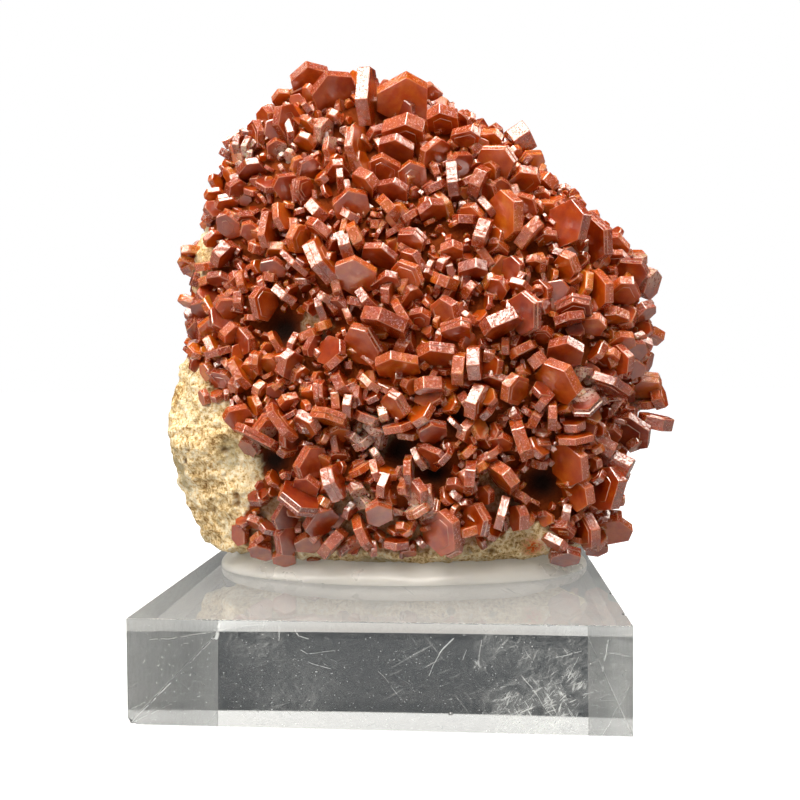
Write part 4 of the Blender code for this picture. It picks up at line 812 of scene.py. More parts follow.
    (-4.6, -14.0, 5.0, 1.8, 20, 15, 0, 0.3),
    (-8.6, -18.0, 4.0, 2.4, 300, 50, 0, 0.0),
    (-7.6, -20.4, 3.6, 2.0, 200, 60, 0, 0.0),
    (-22.8, -15.0, 2.6, 1.8, 80, 10, 0, 0.5),
    (-18.8, -17.0, 6.4, 2.0, 250, 60, 0, 0.0),
    (-20.4, -19.4, 9.8, 2.4, 62, 30, 10, 0.8),
    (-22.6, -22.8, 7.0, 1.6, 345, 60, 10, 0.8),
    (-28.4, -19.4, 4.2, 1.8, 110, 50, 0, 0.0),
    (-29.0, -24.4, 4.2, 1.8, 240, 40, 0, 0.0),
    (-26.4, -25.4, 4.2, 1.6, 60, 30, 0, 0.3),
    (-22.2, -27.6, 7.0, 2.0, 345, 55, 0, 0.3),
    (-32.0, -26.8, 4.6, 1.6, 200, 68, 0, 0.0),
    (-27.8, -27.4, 3.6, 1.4, 125, 8, 30, 0.8),
    (-27.8, -30.0, 5.8, 2.0, 270, 55, 0, 0.0),
    (-23.8, -30.2, 2.0, 1.6, 45, 10, 0, 0.5),
    (-23.0, -31.4, 5.0, 1.8, 270, 60, 0, 0.0),
    (-16.0, -24.4, 7.4, 2.2, 305, 58, 0, 0.3),
    (-13.4, -28.6, 7.2, 2.6, 318, 12, 15, 0.8),
    (-18.2, -28.4, 5.6, 2.0, 280, 55, 0, 0.0),
    (-9.8, -29.0, 4.4, 2.0, 300, 45, 0, 0.0),
    (-10.0, -22.2, 4.2, 1.6, 330, 30, 0, 0.0),
    (-4.2, -22.6, 6.6, 2.2, 275, 68, 0, 0.5),
    (-7.4, -26.8, 7.4, 2.2, 25, 5, 30, 1.0),
    (-4.0, -27.2, 2.6, 1.6, 60, 30, 0, 0.3),
    (-17.0, -32.4, 3.6, 1.6, 270, 60, 0, 0.0),
]
FACING = 0.75               # how far their end faces turn to the eye, and
THINNER = 0.86              # how thick they are, as shares of what the list says
BITE = 1.0                  # how deep a crystal's root goes into the rock
FRONT_REACH = 2.4           # how far at most a crystal's centre stands off the rock

# Crystals on the top and flanks, which don't show from the front.
FLANK_SEED = 4
FLANK_COUNT = 38
FLANK_SPACING = 4.6         # the least distance between two of their centres
FLANK_WIDTH = (5.6, 8.8)
FLANK_THICKNESS = (0.25, 0.42)      # as a share of the width
FLANK_REACH = 2.2           # how far at most a centre stands off the rock
FLANK_LEAN = (35.0, 85.0)   # from the way the rock faces, in degrees
FLANK_TRIES = 20000
FLANK_TURNED = 0.30         # rock that faces the eye more than this is left to the list

BARE_FOOT = 29.0            # the rock is bare below this height,
BARE_BACK = 9.0             # behind this depth,
BARE_LEFT = -34.0           # and to the left of this, as far up as
BARE_LEFT_TOP = 66.0
SCATTER_CLIMB = (0.05, 0.995)       # shares of the rock's height


class Crystal:
    """A six-sided prism: axis runs through its end faces, corner points at one edge."""

    def __init__(self, centre, axis, corner, width, thickness):
        self.centre = centre
        self.axis = axis.normalized()
        self.side = self.axis.cross(corner).normalized()
        self.front = self.side.cross(self.axis).normalized()
        self.width = width
        self.thickness = thickness

    def corners(self):
        """The six corners of one end, then those of the other."""
        ends = []
        for level in (-0.5, 0.5):
            for index in range(6):
                turn = math.radians(60.0 * index)
                out = self.front * math.cos(turn) + self.side * math.sin(turn)
                ends.append(self.centre + self.axis * level * self.thickness
                            + out * self.width / 2.0)
        return ends

    def in_outline(self):
        """True where the whole crystal shows inside the outline of the specimen."""
        return all(in_outline(corner) for corner in self.corners())


def crystal_axes(leaning, facing, spin):
    """Axis and corner directions of a crystal seen from the front."""
    toward = -FORWARD
    leaning = math.radians(leaning)
    facing = math.radians(facing)
    flat = RIGHT * math.cos(leaning) + UP * math.sin(leaning)
    axis = flat * math.cos(facing) + toward * math.sin(facing)
    corner = toward * math.cos(facing) - flat * math.sin(facing)
    corner = Matrix.Rotation(math.radians(spin), 3, axis) @ corner
    return axis, corner


def height_over(rock, point):
    """How far a point stands off the rock, below zero inside it."""
    nearest, normal, _, distance = rock.find_nearest(point)
    if (point - nearest).dot(normal) < 0.0:
        return -distance
    return distance


def lay_on_rock(rock, across, up, clearance):
    """First point on the line of sight that is as near to the rock as the clearance."""
    ray = sight_ray(across, up)
    best = None
    for step in range(SIGHT_STEPS):
        point = EYE + ray * (SIGHT_START + SIGHT_STEP * step)
        distance = height_over(rock, point)
        if distance <= clearance:
            return point
        if best is None or distance < best[0]:
            best = (distance, point)
    return best[1]


def front_crystals(rock):
    """The crystals of the list, each rooted in the rock."""
    made = []
    for across, up, width, thickness, leaning, facing, spin, lift in CRYSTALS:
        facing *= FACING
        axis, corner = crystal_axes(leaning, facing, spin)
        turn = math.radians(facing)
        reach = thickness / 2.0 * math.sin(turn) + width / 2.0 * math.cos(turn)
        centre = lay_on_rock(rock, across, up, min(reach - BITE, FRONT_REACH) + lift)
        scale = (centre - EYE).length / SIGHT_DISTANCE
        made.append(Crystal(centre, axis, corner, width * scale,
                            thickness * scale * THINNER))
    return made


def bare(point):
    """True where the rock shows: its left flank low down, its foot and its back."""
    if point.z < BARE_FOOT or point.y > BARE_BACK:
        return True
    return point.x < BARE_LEFT and point.z < BARE_LEFT_TOP


def rock_normal(turn, climb):
    """The way the rock faces at a point, or nothing at its poles."""
    along = rock_point(turn + 0.02, climb) - rock_point(turn - 0.02, climb)
    rise = rock_point(turn, min(1.0, climb + 0.01)) - rock_point(turn, climb - 0.01)
    normal = along.cross(rise)
    return normal.normalized() if normal.length > 1e-6 else None


def scattered_crystal(dice):
    """A crystal at a random place on the rock, with the way the rock faces there."""
    turn = dice.uniform(-math.pi, math.pi)
    climb = dice.uniform(*SCATTER_CLIMB)
    width = dice.uniform(*FLANK_WIDTH)
    thickness = width * dice.uniform(*FLANK_THICKNESS)
    lean = math.radians(dice.uniform(*FLANK_LEAN))
    swing = dice.uniform(-math.pi, math.pi)
    point = rock_point(turn, climb)
    normal = rock_normal(turn, climb)
    if normal is None or bare(point):
        return None, None
    flat = Matrix.Rotation(swing, 3, normal) @ normal.orthogonal().normalized()
    axis = normal * math.cos(lean) + flat * math.sin(lean)
    corner = normal * math.sin(lean) - flat * math.cos(lean)
    reach = thickness / 2.0 * math.cos(lean) + width / 2.0 * math.sin(lean)
    centre = point + normal * min(reach - BITE, FLANK_REACH)
    return Crystal(centre, axis, corner, width, thickness), normal


def flank_crystals():
    """Crystals scattered by rule over the top and the flanks."""
    dice = random.Random(FLANK_SEED)
    made = []
    for _ in range(FLANK_TRIES):
        if len(made) == FLANK_COUNT:
            break
        crystal, normal = scattered_crystal(dice)
        if crystal is None or normal.dot(-FORWARD) > FLANK_TURNED:
            continue
        if not crystal.in_outline():
            continue
        if all((crystal.centre - other.centre).length > FLANK_SPACING for other in made):
            made.append(crystal)
    return made


LISTED = front_crystals(ROCK)
SCATTERED = flank_crystals()
print(len(LISTED), "listed crystals and", len(SCATTERED), "on the flanks")

# %% [markdown]
# ## One crystal
#
# A real prism is never a plain hexagon. Its six sides stand at different distances from
# the axis, its edges are blunt, and it grew in layers, so a side face shows steps across
# it, and one end face in four carries a raised or sunken terrace. A profile says all of
# that: a list of heights along the axis, each with how far the outline is drawn in there.
# Rings of twelve points follow the profile, two for each blunt corner.

# %% The form of one crystal
BLUNT = 0.11                # width of the bevel along every edge
UNEVEN = 0.16               # how much the six sides differ, as a share of the width
LAYER_STEP = (0.08, 0.30)   # how far one growth layer stands back from the next
TERRACE_RIM = (0.10, 0.22)  # where a terrace starts, as a share of the width
TERRACE_STEP = 0.12
TERRACE_CHANCE = 0.25       # how many crystals carry one
THICK = 1.6                 # crystals thicker than this show their layers
CORNERS = 12                # points of a ring, two for each blunt corner
STEEP = 0.3                 # rings less drawn in than this share of their height are sides

SIDE_FACE = (1.0, 0.0, 0.0, 1.0)
BLUNT_EDGE = (0.0, 1.0, 0.0, 1.0)
END_FACE = (0.0, 0.0, 0.0, 1.0)


def growth_profile(thickness, width, dice, layered=True):
    """Heights along the axis, each with how far the outline is drawn in."""
    half = thickness / 2.0
    blunt = min(BLUNT, thickness * 0.12, width * 0.05)
    inset = 0.0
    profile = [(-half, blunt), (-half + blunt, 0.0)]
    steps = dice.choice((0, 0, 1, 1)) if layered and thickness > THICK else 0
    for index in range(steps):
        height = -half + thickness * (index + dice.uniform(0.7, 1.3)) / (steps + 1.0)
        step = dice.uniform(*LAYER_STEP) * dice.choice((-1.0, 1.0))
        profile += [(height, inset), (height + blunt, max(0.0, inset + step))]
        inset = max(0.0, inset + step)
    profile += [(half - blunt, inset), (half, inset + blunt)]
    if layered and dice.random() < TERRACE_CHANCE:
        start = inset + width * dice.uniform(*TERRACE_RIM)
        rise = TERRACE_STEP * dice.choice((-1.0, 1.0))
        profile += [(half, start), (half + rise, start + abs(rise))]
    return profile


def uneven_sides(width, dice):
    """Distances of the six sides from the axis."""
    flat = width * math.sqrt(0.75) / 2.0
    return [flat * (1.0 + dice.uniform(-UNEVEN, UNEVEN)) for _ in range(6)]


def outline(sides, inset, blunt):
    """Twelve points of the hexagon, drawn in by an inset, its corners cut blunt."""
    points = []
    for index in range(6):
        first = sides[index - 1] - inset
        second = sides[index] - inset
        before = math.radians(60.0 * index - 30.0)
        after = math.radians(60.0 * index + 30.0)
        out = math.sin(after - before)
        corner = Vector((
            (first * math.sin(after) - second * math.sin(before)) / out,
            (second * math.cos(before) - first * math.cos(after)) / out,
        ))
        along_first = Vector((-math.sin(before), math.cos(before)))
        along_second = Vector((-math.sin(after), math.cos(after)))
        points.append(corner - along_first * blunt)
        points.append(corner + along_second * blunt)
    return points


def add_crystal(form, crystal, tone, dice, layered=True):
    """Adds one crystal to a bmesh, with its tone, face kinds and flat coordinates."""
    kinds = form.loops.layers.float_color["growth"]
    flats = form.loops.layers.uv["crystal_uv"]
    tones = form.verts.layers.float["tone"]
    sides = uneven_sides(crystal.width, dice)
    rings = []
    around = None
    for height, inset in growth_profile(crystal.thickness, crystal.width, dice, layered):
        points = outline(sides, inset, BLUNT)
        if around is None:
            around = [0.0]
            for index in range(CORNERS):
                step = (points[(index + 1) % CORNERS] - points[index]).length
                around.append(around[-1] + step)
        ring = []
        for point in points:
            place = (crystal.centre + crystal.front * point.x + crystal.side * point.y
                     + crystal.axis * height)
            vert = form.verts.new(place)
            vert[tones] = tone
            ring.append(vert)
        rings.append((height, inset, points, ring))

    def finish(face, kind, places):
        """Gives a face its kind and its flat coordinates."""
        for loop, place in zip(face.loops, places):
            loop[kinds] = kind
            loop[flats].uv = Vector(place) * MM

    bottom = rings[0]
    finish(form.faces.new(bottom[3][::-1]), END_FACE, bottom[2][::-1])
    top = rings[-1]
    finish(form.faces.new(top[3]), END_FACE, top[2])
    for (low, inset, points, ring), (high, next_inset, next_points, next_ring) in zip(
            rings, rings[1:]):
        upright = abs(next_inset - inset) < STEEP * abs(high - low)
        level = abs(high - low) < 0.001
        for index in range(CORNERS):
            after = (index + 1) % CORNERS
            face = form.faces.new((ring[index], ring[after], next_ring[after],
                                   next_ring[index]))
            if level:
                finish(face, END_FACE, (points[index], points[after], next_points[after],
                                        next_points[index]))
            else:
                kind = SIDE_FACE if upright and index % 2 == 1 else BLUNT_EDGE
                finish(face, kind, ((around[index], low), (around[index + 1], low),
                                    (around[index + 1], high), (around[index], high)))


def crystal_bmesh():
    """An empty bmesh with the layers that crystals carry."""
    form = bmesh.new()
    form.loops.layers.float_color.new("growth")
    form.loops.layers.uv.new("crystal_uv")
    form.verts.layers.float.new("tone")
    return form


# %% [markdown]
# ## The large crystals
#
# All of them make one crust, so they are one mesh. Each has its own tone: neighbours in a
# druse differ, and whole patches lean to orange or to brown.

# %% The crust of large crystals
TONE_SEED = 21
PATCH_SIZE = 24.0           # size of the patches of like tone
TONE_SPREAD = 0.28          # how much neighbours differ


def tone_at(point, dice):
    """0 is dark brown-red and 1 is orange."""
    patch = 0.5 + 0.45 * noise.noise(point / PATCH_SIZE)
    return min(1.0, max(0.0, patch + dice.uniform(-TONE_SPREAD, TONE_SPREAD)))


def crystal_crust(name, crystals, seed):
    """One mesh of many crystals."""
    dice = random.Random(seed)
    form = crystal_bmesh()
    for crystal in crystals:
        add_crystal(form, crystal, tone_at(crystal.centre, dice), dice)
    return add_object(name, mesh_of(name, form))


large_crystals = crystal_crust("front_crystals", LISTED, TONE_SEED)
flank_crust = crystal_crust("flank_crystals", SCATTERED, TONE_SEED + 1)
print("crusts made")

# %% [markdown]
# ## The rock
#
# The rock is granular and porous: a crumbly cream and tan stone with brown pits. The
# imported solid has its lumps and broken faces. A voxel remesh gives that form an even skin
# of small faces, and each point of the skin is then pushed in or out by the sum of a few
# noises: lumps, grains and pits. Each point also keeps four numbers for later: whether
# crystals cover it, how much room they have there, how deep it lies in a hollow, and how
# deep in a pit.

# %% The skin of the rock
ROCK_VOXEL = 0.6
CRUST_FOOT = BARE_FOOT - 3.0        # small crystals reach a little lower than large ones
CRUST_BACK = BARE_BACK + 2.0        # and a little further back
SEEN_FROM_FRONT = 0.1       # rock that faces the eye more than this follows the patches
FEW = 0.6                   # share of the rock that small crystals cover in a thin patch
SMOOTHER = 0.6              # how much of its relief the rock loses under crystals
# Noises that are added up: size, height and shift of each.
LUMPS = [(9.0, 1.0, (0, 0, 0)), (4.2, 0.7, (7, 3, 1))]
CRUMBS = [(2.0, 0.5, (3, 9, 4)), (1.1, 0.38, (0, 0, 0))]
# Low steps that run across: height, length, distance from the next, and slant.
LEDGE_HEIGHT = 0.5
LEDGE_LENGTH = 9.0
LEDGE_SPACING = 2.2
LEDGE_SLANT = 7.0
PIT_SPACING = 4.2
PIT_RADIUS = 0.34           # as a share of the spacing
PIT_DEPTH = 0.8
PITTED_SIZE = 7.0           # pits come in places of about this size,
PITTED_FROM = 0.22          # where a noise is above this
LOW_CRUMB = -0.22           # gaps between the crumbs are as brown as pits below this
HOLLOW_REACH = 1.3          # where a hollow ends, in its radii
HOLLOW_FREE = 0.45          # no crystals are planted where its share is more than this
BARE_PATCHES = [
    # the flank at the lower left
    [(-48.0, 9.0), (-41.0, 8.0), (-38.0, 3.0), (-33.0, -1.0), (-29.0, -6.0),
     (-27.0, -13.0), (-28.0, -18.0), (-31.0, -23.0), (-31.0, -28.0), (-33.0, -34.0),
     (-48.0, -34.0)],
    # the edge at the upper left
    [(-45.0, 36.0), (-38.5, 36.0), (-37.0, 30.0), (-38.0, 23.0), (-41.0, 20.0),
     (-45.0, 20.0)],
    # the foot
    [(-32.0, -29.5), (-8.0, -30.5), (8.0, -30.0), (18.0, -29.0), (24.0, -24.0),
     (30.0, -25.0), (34.0, -30.0), (42.0, -31.0), (42.0, -36.0), (-32.0, -36.0)],
]
THIN_PATCHES = [            # small windows where the crystals grow thinly
    [(-22.0, -17.0), (-6.0, -16.0), (-4.0, -23.0), (8.0, -26.0), (18.0, -27.0),
     (18.0, -31.0), (-32.0, -31.0), (-28.0, -22.0)],
    [(14.0, -14.0), (24.0, -15.0), (24.0, -23.0), (16.0, -22.0)],
    [(-19.0, 18.0), (-15.0, 18.5), (-13.0, 14.5), (-16.0, 11.0), (-20.0, 13.0)],
    [(-6.0, -3.0), (-2.0, -2.0), (-1.0, -7.0), (-3.5, -12.0), (-7.0, -11.0)],
]


def covered(point, normal):
    """1 where crystals cover the rock, 0 where it is bare, between where they are few."""
    if point.z < CRUST_FOOT or point.y > CRUST_BACK:
        return 0.0
    if normal.dot(-FORWARD) > SEEN_FROM_FRONT:
        across, up = seen_at(point)
        if any(inside(patch, across, up) for patch in BARE_PATCHES):
            return 0.0
        return FEW if any(inside(patch, across, up) for patch in THIN_PATCHES) else 1.0
    if point.x < BARE_LEFT and point.z < BARE_LEFT_TOP:
        return 0.0
    return 1.0


def hollow_share(point):
    """1 in the middle of a hollow, falling to 0 at its rim."""
    if point.y > 0.0:
        return 0.0
    share = 0.0
    for across, up, radius, _ in HOLLOWS:
        ray = sight_ray(across, up)
        away = point - EYE
        away -= ray * away.dot(ray)
        share = max(share, 1.0 - away.length / (radius * HOLLOW_REACH))
    return share


def noises(point, layers):
    """The sum of a few noises at a point."""
    return sum(noise.noise(point / size + Vector(shift)) * height
               for size, height, shift in layers)


def rock_relief(point):
    """How far the skin stands out at a point, and how deep in a pit it lies."""
    ledge = noise.noise(Vector((point.x / LEDGE_LENGTH, point.y / LEDGE_LENGTH,
                                point.z / LEDGE_SPACING - point.x / LEDGE_SLANT)))
    crumbs = noises(point, CRUMBS)
    pit = 0.0
    if noise.noise(point / PITTED_SIZE) > PITTED_FROM:
        nearest = noise.voronoi(point / PIT_SPACING)[0][0]
        pit = max(0.0, 1.0 - nearest / PIT_RADIUS)
    brown = min(1.0, pit + max(0.0, LOW_CRUMB - crumbs) * 2.0)
    height = noises(point, LUMPS) + ledge * LEDGE_HEIGHT + crumbs - pit * PIT_DEPTH
    return height, brown


def rock_skin():
    """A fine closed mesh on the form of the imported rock."""
    form = bmesh.new()
    form.from_mesh(frame["nodes"]["matrix"].data)
    bmesh.ops.remove_doubles(form, verts=form.verts, dist=0.00001)
    mesh = bpy.data.meshes.new("matrix_rock")
    form.to_mesh(mesh)
    form.free()
    rock = add_object("matrix_rock", mesh)
    remesh = rock.modifiers.new("even skin", "REMESH")
    remesh.mode = "VOXEL"
    remesh.voxel_size = ROCK_VOXEL * MM
    baked(rock)
    kept = {"cover": [], "room": [], "deep": [], "pitted": []}
    normals = [vert.normal.copy() for vert in rock.data.vertices]
    for vert, normal in zip(rock.data.vertices, normals):
        point = vert.co / MM
        under = covered(point, normal)
        height, brown = rock_relief(point)
        vert.co = (point + normal * (height * (1.0 - SMOOTHER * under))) * MM
        hidden = hollow_share(point)
        kept["cover"].append(under)
        kept["room"].append(under if hidden < HOLLOW_FREE else 0.0)
        kept["deep"].append(hidden)
        kept["pitted"].append(brown)
    for name, values in kept.items():
        layer = rock.data.attributes.new(name, "FLOAT", "POINT")
        layer.data.foreach_set("value", values)
    return rock


matrix_rock = rock_skin()
print("rock skin", len(matrix_rock.data.vertices), "points")

# %% [markdown]
# ## Small crystals
#
# Between the large crystals the rock is crowded with smaller ones. They repeat, so
# Geometry Nodes place them: points no closer than a spacing are dealt over the rock where
# there is room, and each takes one of a few prototypes, tilted, turned and sized at
# random. It stands off the rock in proportion to its size, so that its root stays in. The
# tree runs twice: once for tiny crystals that line the gaps, and once for middling ones
# that stand further out.

# %% The tree that plants crystals
PROTOTYPES = 6              # different forms to plant
PROTOTYPE_SEED = 8
PROTOTYPE_WIDTH = 3.0
PROTOTYPE_THICKNESS = (0.65, 1.2)
POINT_DENSITY = 400000.0    # points a square metre before the spacing thins them
PLANT_INPUTS = [
    ("Spacing", "NodeSocketFloat", 1.8 * MM),
    ("Smallest", "NodeSocketFloat", 0.45),
    ("Largest", "NodeSocketFloat", 1.05),
    ("Least stand off", "NodeSocketFloat", 0.3 * MM),
    ("Most stand off", "NodeSocketFloat", 1.2 * MM),
    ("Least lean", "NodeSocketFloat", math.radians(45.0)),
    ("Most lean", "NodeSocketFloat", math.radians(90.0)),
    ("Seed", "NodeSocketInt", 5),
    ("Crystals", "NodeSocketCollection", None),
    ("Finish", "NodeSocketMaterial", None),
]


def planting_tree():
    """Geometry nodes that plant crystals where the rock has room for them."""
    group = bpy.data.node_groups.new("plant_crystals", "GeometryNodeTree")
    group.interface.new_socket("Rock", in_out="INPUT", socket_type="NodeSocketGeometry")
    for name, kind, value in PLANT_INPUTS:
        socket = group.interface.new_socket(name, in_out="INPUT", socket_type=kind)
        if value is not None:
            socket.default_value = value
    group.interface.new_socket("Crystals", in_out="OUTPUT", socket_type="NodeSocketGeometry")
    tree = Tree(group)
    given = tree.node("NodeGroupInput")
    asked = {socket.name: Link(tree, socket) for socket in given.socket.node.outputs}
    room = tree.node("GeometryNodeInputNamedAttribute", {"data_type": "FLOAT"},
                     {"Name": "room"})
    points = tree.node("GeometryNodeDistributePointsOnFaces",
                       {"distribute_method": "POISSON"},
                       {"Mesh": asked["Rock"], "Distance Min": asked["Spacing"],
                        "Density Max": POINT_DENSITY, "Density Factor": room,
                        "Seed": asked["Seed"]})
    facing = Link(tree, points.socket.node.outputs["Rotation"])
    normal = Link(tree, points.socket.node.outputs["Normal"])

    def chance(low, high, shift):
        """A random number for each point."""
        return tree.node("FunctionNodeRandomValue", {"data_type": "FLOAT"},
                         {2: low, 3: high, "Seed": asked["Seed"] + shift}, out=1)

    lean = chance(asked["Least lean"], asked["Most lean"], 0)
    swing = chance(0.0, 2.0 * math.pi, 3)
    tilted = tree.node("ShaderNodeCombineXYZ", None, {"X": lean, "Z": swing})
    turned = tree.node("FunctionNodeRotateRotation", {"rotation_space": "LOCAL"},
                       {"Rotation": facing,
                        "Rotate By": tree.node("FunctionNodeEulerToRotation", None,
                                               {"Euler": tilted})})
    size = chance(asked["Smallest"], asked["Largest"], 1)
    stand_off = chance(asked["Least stand off"], asked["Most stand off"], 4)
    lift = tree.scaled(normal, stand_off * size)
    lifted = tree.node("GeometryNodeSetPosition", None, {"Geometry": points, "Offset": lift})
    kinds = tree.node("GeometryNodeCollectionInfo", {"transform_space": "RELATIVE"},
                      {"Collection": asked["Crystals"], "Separate Children": True,
                       "Reset Children": True})
    planted = tree.node("GeometryNodeInstanceOnPoints", None,
                        {"Points": lifted, "Instance": kinds, "Pick Instance": True,
                         "Rotation": turned, "Scale": size})
    tone = chance(0.1, 0.95, 2)
    toned = tree.node("GeometryNodeStoreNamedAttribute",
                      {"data_type": "FLOAT", "domain": "INSTANCE"},
                      {"Geometry": planted, "Name": "tone", "Value": tone})
    real = tree.node("GeometryNodeRealizeInstances", None, {"Geometry": toned})
    finished = tree.node("GeometryNodeSetMaterial", None,
                         {"Geometry": real, "Material": asked["Finish"]})
    tree.node("NodeGroupOutput", None, {"Crystals": finished})
    return group


plant_tree = planting_tree()
print("planting tree:", len(plant_tree.nodes), "nodes")


# %% Planting the small crystals
def prototype_crystals():
    """A collection of a few small crystals to plant."""
    dice = random.Random(PROTOTYPE_SEED)
    kinds = bpy.data.collections.new("crystal_kinds")
    for index in range(PROTOTYPES):
        form = crystal_bmesh()
        crystal = Crystal(Vector((0, 0, 0)), Vector((0, 0, 1)), Vector((1, 0, 0)),
                          PROTOTYPE_WIDTH * dice.uniform(0.8, 1.2),
                          dice.uniform(*PROTOTYPE_THICKNESS))
        add_crystal(form, crystal, 0.5, dice, layered=False)
        mesh = mesh_of("crystal_kind_%d" % index, form)
        mesh.attributes.remove(mesh.attributes["tone"])
        kinds.objects.link(bpy.data.objects.new(mesh.name, mesh))
    return kinds


def plant(name, ground, kinds, finish, **inputs):
    """Runs the planting tree on a copy of the ground and keeps the crystals."""
    planted = add_object(name, ground.data.copy())
    modifier = planted.modifiers.new("plant", "NODES")
    modifier.node_group = plant_tree
    wanted = dict(inputs, Crystals=kinds, Finish=finish)
    for socket in plant_tree.interface.items_tree:
        if socket.in_out == "INPUT" and socket.name in wanted:
            modifier[socket.identifier] = wanted[socket.name]
    return baked(planted)


crystal_kinds = prototype_crystals()

# %% [markdown]
# ## The putty
#
# The putty was pressed flat under the rock and came out around it in soft lobes. It is the
# upper half of a ball, squashed and squared by a formula: its top is nearly level, and it
# falls fast at the rim. Its flat bottom lies on the block.

# %% The pad of putty
PUTTY_HEIGHT = 4.2
PUTTY_CENTRE = (0.8, 3.4)
PUTTY_HALF_WIDTH = 41.6
PUTTY_HALF_DEPTH = 22.6
PUTTY_SQUARENESS = 0.94
PUTTY_LOBES = 0.02          # how far its lobes stand out, as a share of its width
PUTTY_FLATNESS = 0.32       # the less, the more level its top
PUTTY_RIPPLE = 0.3
BLOCK_HEIGHT = 19.05        # of the block below


def putty_pad():
    """The pad under the rock, closed below."""
    form = bmesh.new()
    bmesh.ops.create_uvsphere(form, u_segments=200, v_segments=72, radius=1.0)
    bmesh.ops.delete(form, geom=[vert for vert in form.verts if vert.co.z < -0.01],
                     context="VERTS")
    bmesh.ops.contextual_create(form, geom=[edge for edge in form.edges if edge.is_boundary])
    bottom = BLOCK_HEIGHT + GAP
    for vert in form.verts:
        turn = math.atan2(vert.co.y, vert.co.x)
        rim = min(1.0, math.hypot(vert.co.x, vert.co.y))
        lobes = 1.0 + PUTTY_LOBES * math.sin(5.0 * turn + 0.6) * math.cos(2.0 * turn)
        spread = rim ** PUTTY_FLATNESS * lobes
        across, along = rounded_square(turn, PUTTY_SQUARENESS)
        point = Vector((
            PUTTY_CENTRE[0] + PUTTY_HALF_WIDTH * across * spread,
            PUTTY_CENTRE[1] + PUTTY_HALF_DEPTH * along * spread,
            bottom + PUTTY_HEIGHT * vert.co.z,
        ))
        ripple = noise.noise(point / 7.0) * PUTTY_RIPPLE * min(1.0, vert.co.z * 3.0)
        vert.co = point + Vector((across, along, 1.0)) * ripple
    bmesh.ops.recalc_face_normals(form, faces=form.faces[:])
    piece = add_object("mounting_pad", mesh_of("mounting_pad", form))
    piece.data.shade_smooth()
    return piece


mounting_pad = putty_pad()

# %% [markdown]
# ## The acrylic block
#
# The block is cut from a cast sheet and polished. Its edges are only just broken, and a few
# are chipped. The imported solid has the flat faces; this one has finer rounded edges and the
# chips, cut out by small rough stones.

# %% The block
BLOCK_WIDTH = 88.9
BLOCK_EDGE = 0.14           # how far the upper edges are broken
CHIPS = [                   # place of each chip and its radius
    ((-44.5, -44.5, 0.2), 0.9),
    ((-43.4, -44.6, -0.1), 0.7),
    ((44.6, -37.0, 19.2), 0.9),
    ((44.6, -22.0, 19.2), 0.8),
    ((30.0, -44.6, 19.2), 0.5),
    ((44.6, 10.0, 19.2), 0.6),
    ((-44.6, 24.0, 19.2), 0.6),
    ((12.0, 44.6, 19.2), 0.7),
]


def clear_block():
    """The block with its broken edges and its chips."""
    form = bmesh.new()
    bmesh.ops.create_cube(form, size=1.0)
    for vert in form.verts:
        vert.co = Vector((vert.co.x * BLOCK_WIDTH, vert.co.y * BLOCK_WIDTH,
                          (vert.co.z + 0.5) * BLOCK_HEIGHT))
    broken = [edge for edge in form.edges
              if max(vert.co.z for vert in edge.verts) > BLOCK_HEIGHT / 2.0]
    bmesh.ops.bevel(form, geom=broken, offset=BLOCK_EDGE, segments=3,
                    affect="EDGES", profile=0.5)
    block = add_object("clear_block", mesh_of("clear_block", form))
    stones = bmesh.new()
    for place, radius in CHIPS:
        made = bmesh.ops.create_icosphere(stones, subdivisions=2, radius=radius)
        for vert in made["verts"]:
            rough = 1.0 + 0.35 * noise.noise(vert.co * 1.7 + Vector(place))
            vert.co = vert.co * rough + Vector(place)
    cutter = add_object("chip_stones", mesh_of("chip_stones", stones))
    cut = block.modifiers.new("chips", "BOOLEAN")
    cut.operation = "DIFFERENCE"
    cut.solver = "EXACT"
    cut.use_self = True
    cut.object = cutter
    baked(block)
    bpy.data.objects.remove(cutter)
    return block


clear_block_piece = clear_block()
print("pad and block made")

# %% [markdown]
# ## Vanadinite
#
# Vanadinite is a lead mineral with a very high refractive index, near 2.3, so even a
# smooth face mirrors a sixth of the light that falls on it straight. The body is
# translucent: some light scatters just under the surface and comes out orange, and some
# passes right through. End faces have a satin gloss. Side faces are glossier, wavy,
# pitted and scored along the axis, so their glints break up, and they carry a painted
# pinkish sheen mixed with dusty grains. The blunt edges carry a painted highlight. In a
# few places very fine pale crystals frost the large ones.

# %% The crystal finish
FROSTED = [                 # places where fine pale crystals frost the others: across, up
    (-5.0, -7.0, 5.5),      # on the sight plane, and radius
    (2.6, -13.5, 3.5),
    (3.4, -21.0, 4.0),
    (-8.2, -19.4, 3.0),
    (35.8, 3.0, 4.0),
    (-27.0, -7.5, 3.0),
    (-13.8, 53.2, 3.5),
    (-23.0, 49.0, 3.0),
    (10.0, 57.5, 3.0),
    (-31.0, 49.0, 3.5),
    (48.5, 26.0, 4.5),
    (47.0, -3.0, 4.0),
]
FROST_LIFT = 2.0            # how far off the rock the middle of each place is
BODY_TONES = [              # from dark brown-red to orange
    (0.0, (0.20, 0.011, 0.0003)),
    (0.35, (0.42, 0.045, 0.0006)),
    (0.65, (0.63, 0.105, 0.002)),
    (1.0, (0.86, 0.270, 0.010)),
]
# dusty grains and a painted pinkish sheen, mostly on the side faces
DUST_AND_SHEEN_TINT = (0.66, 0.27, 0.11)
# painted highlight along the blunt edges
EDGE_HIGHLIGHT_TINT = (0.80, 0.38, 0.18)
FROST_TINT = (0.72, 0.56, 0.45)
VANADINITE_IOR = 2.3
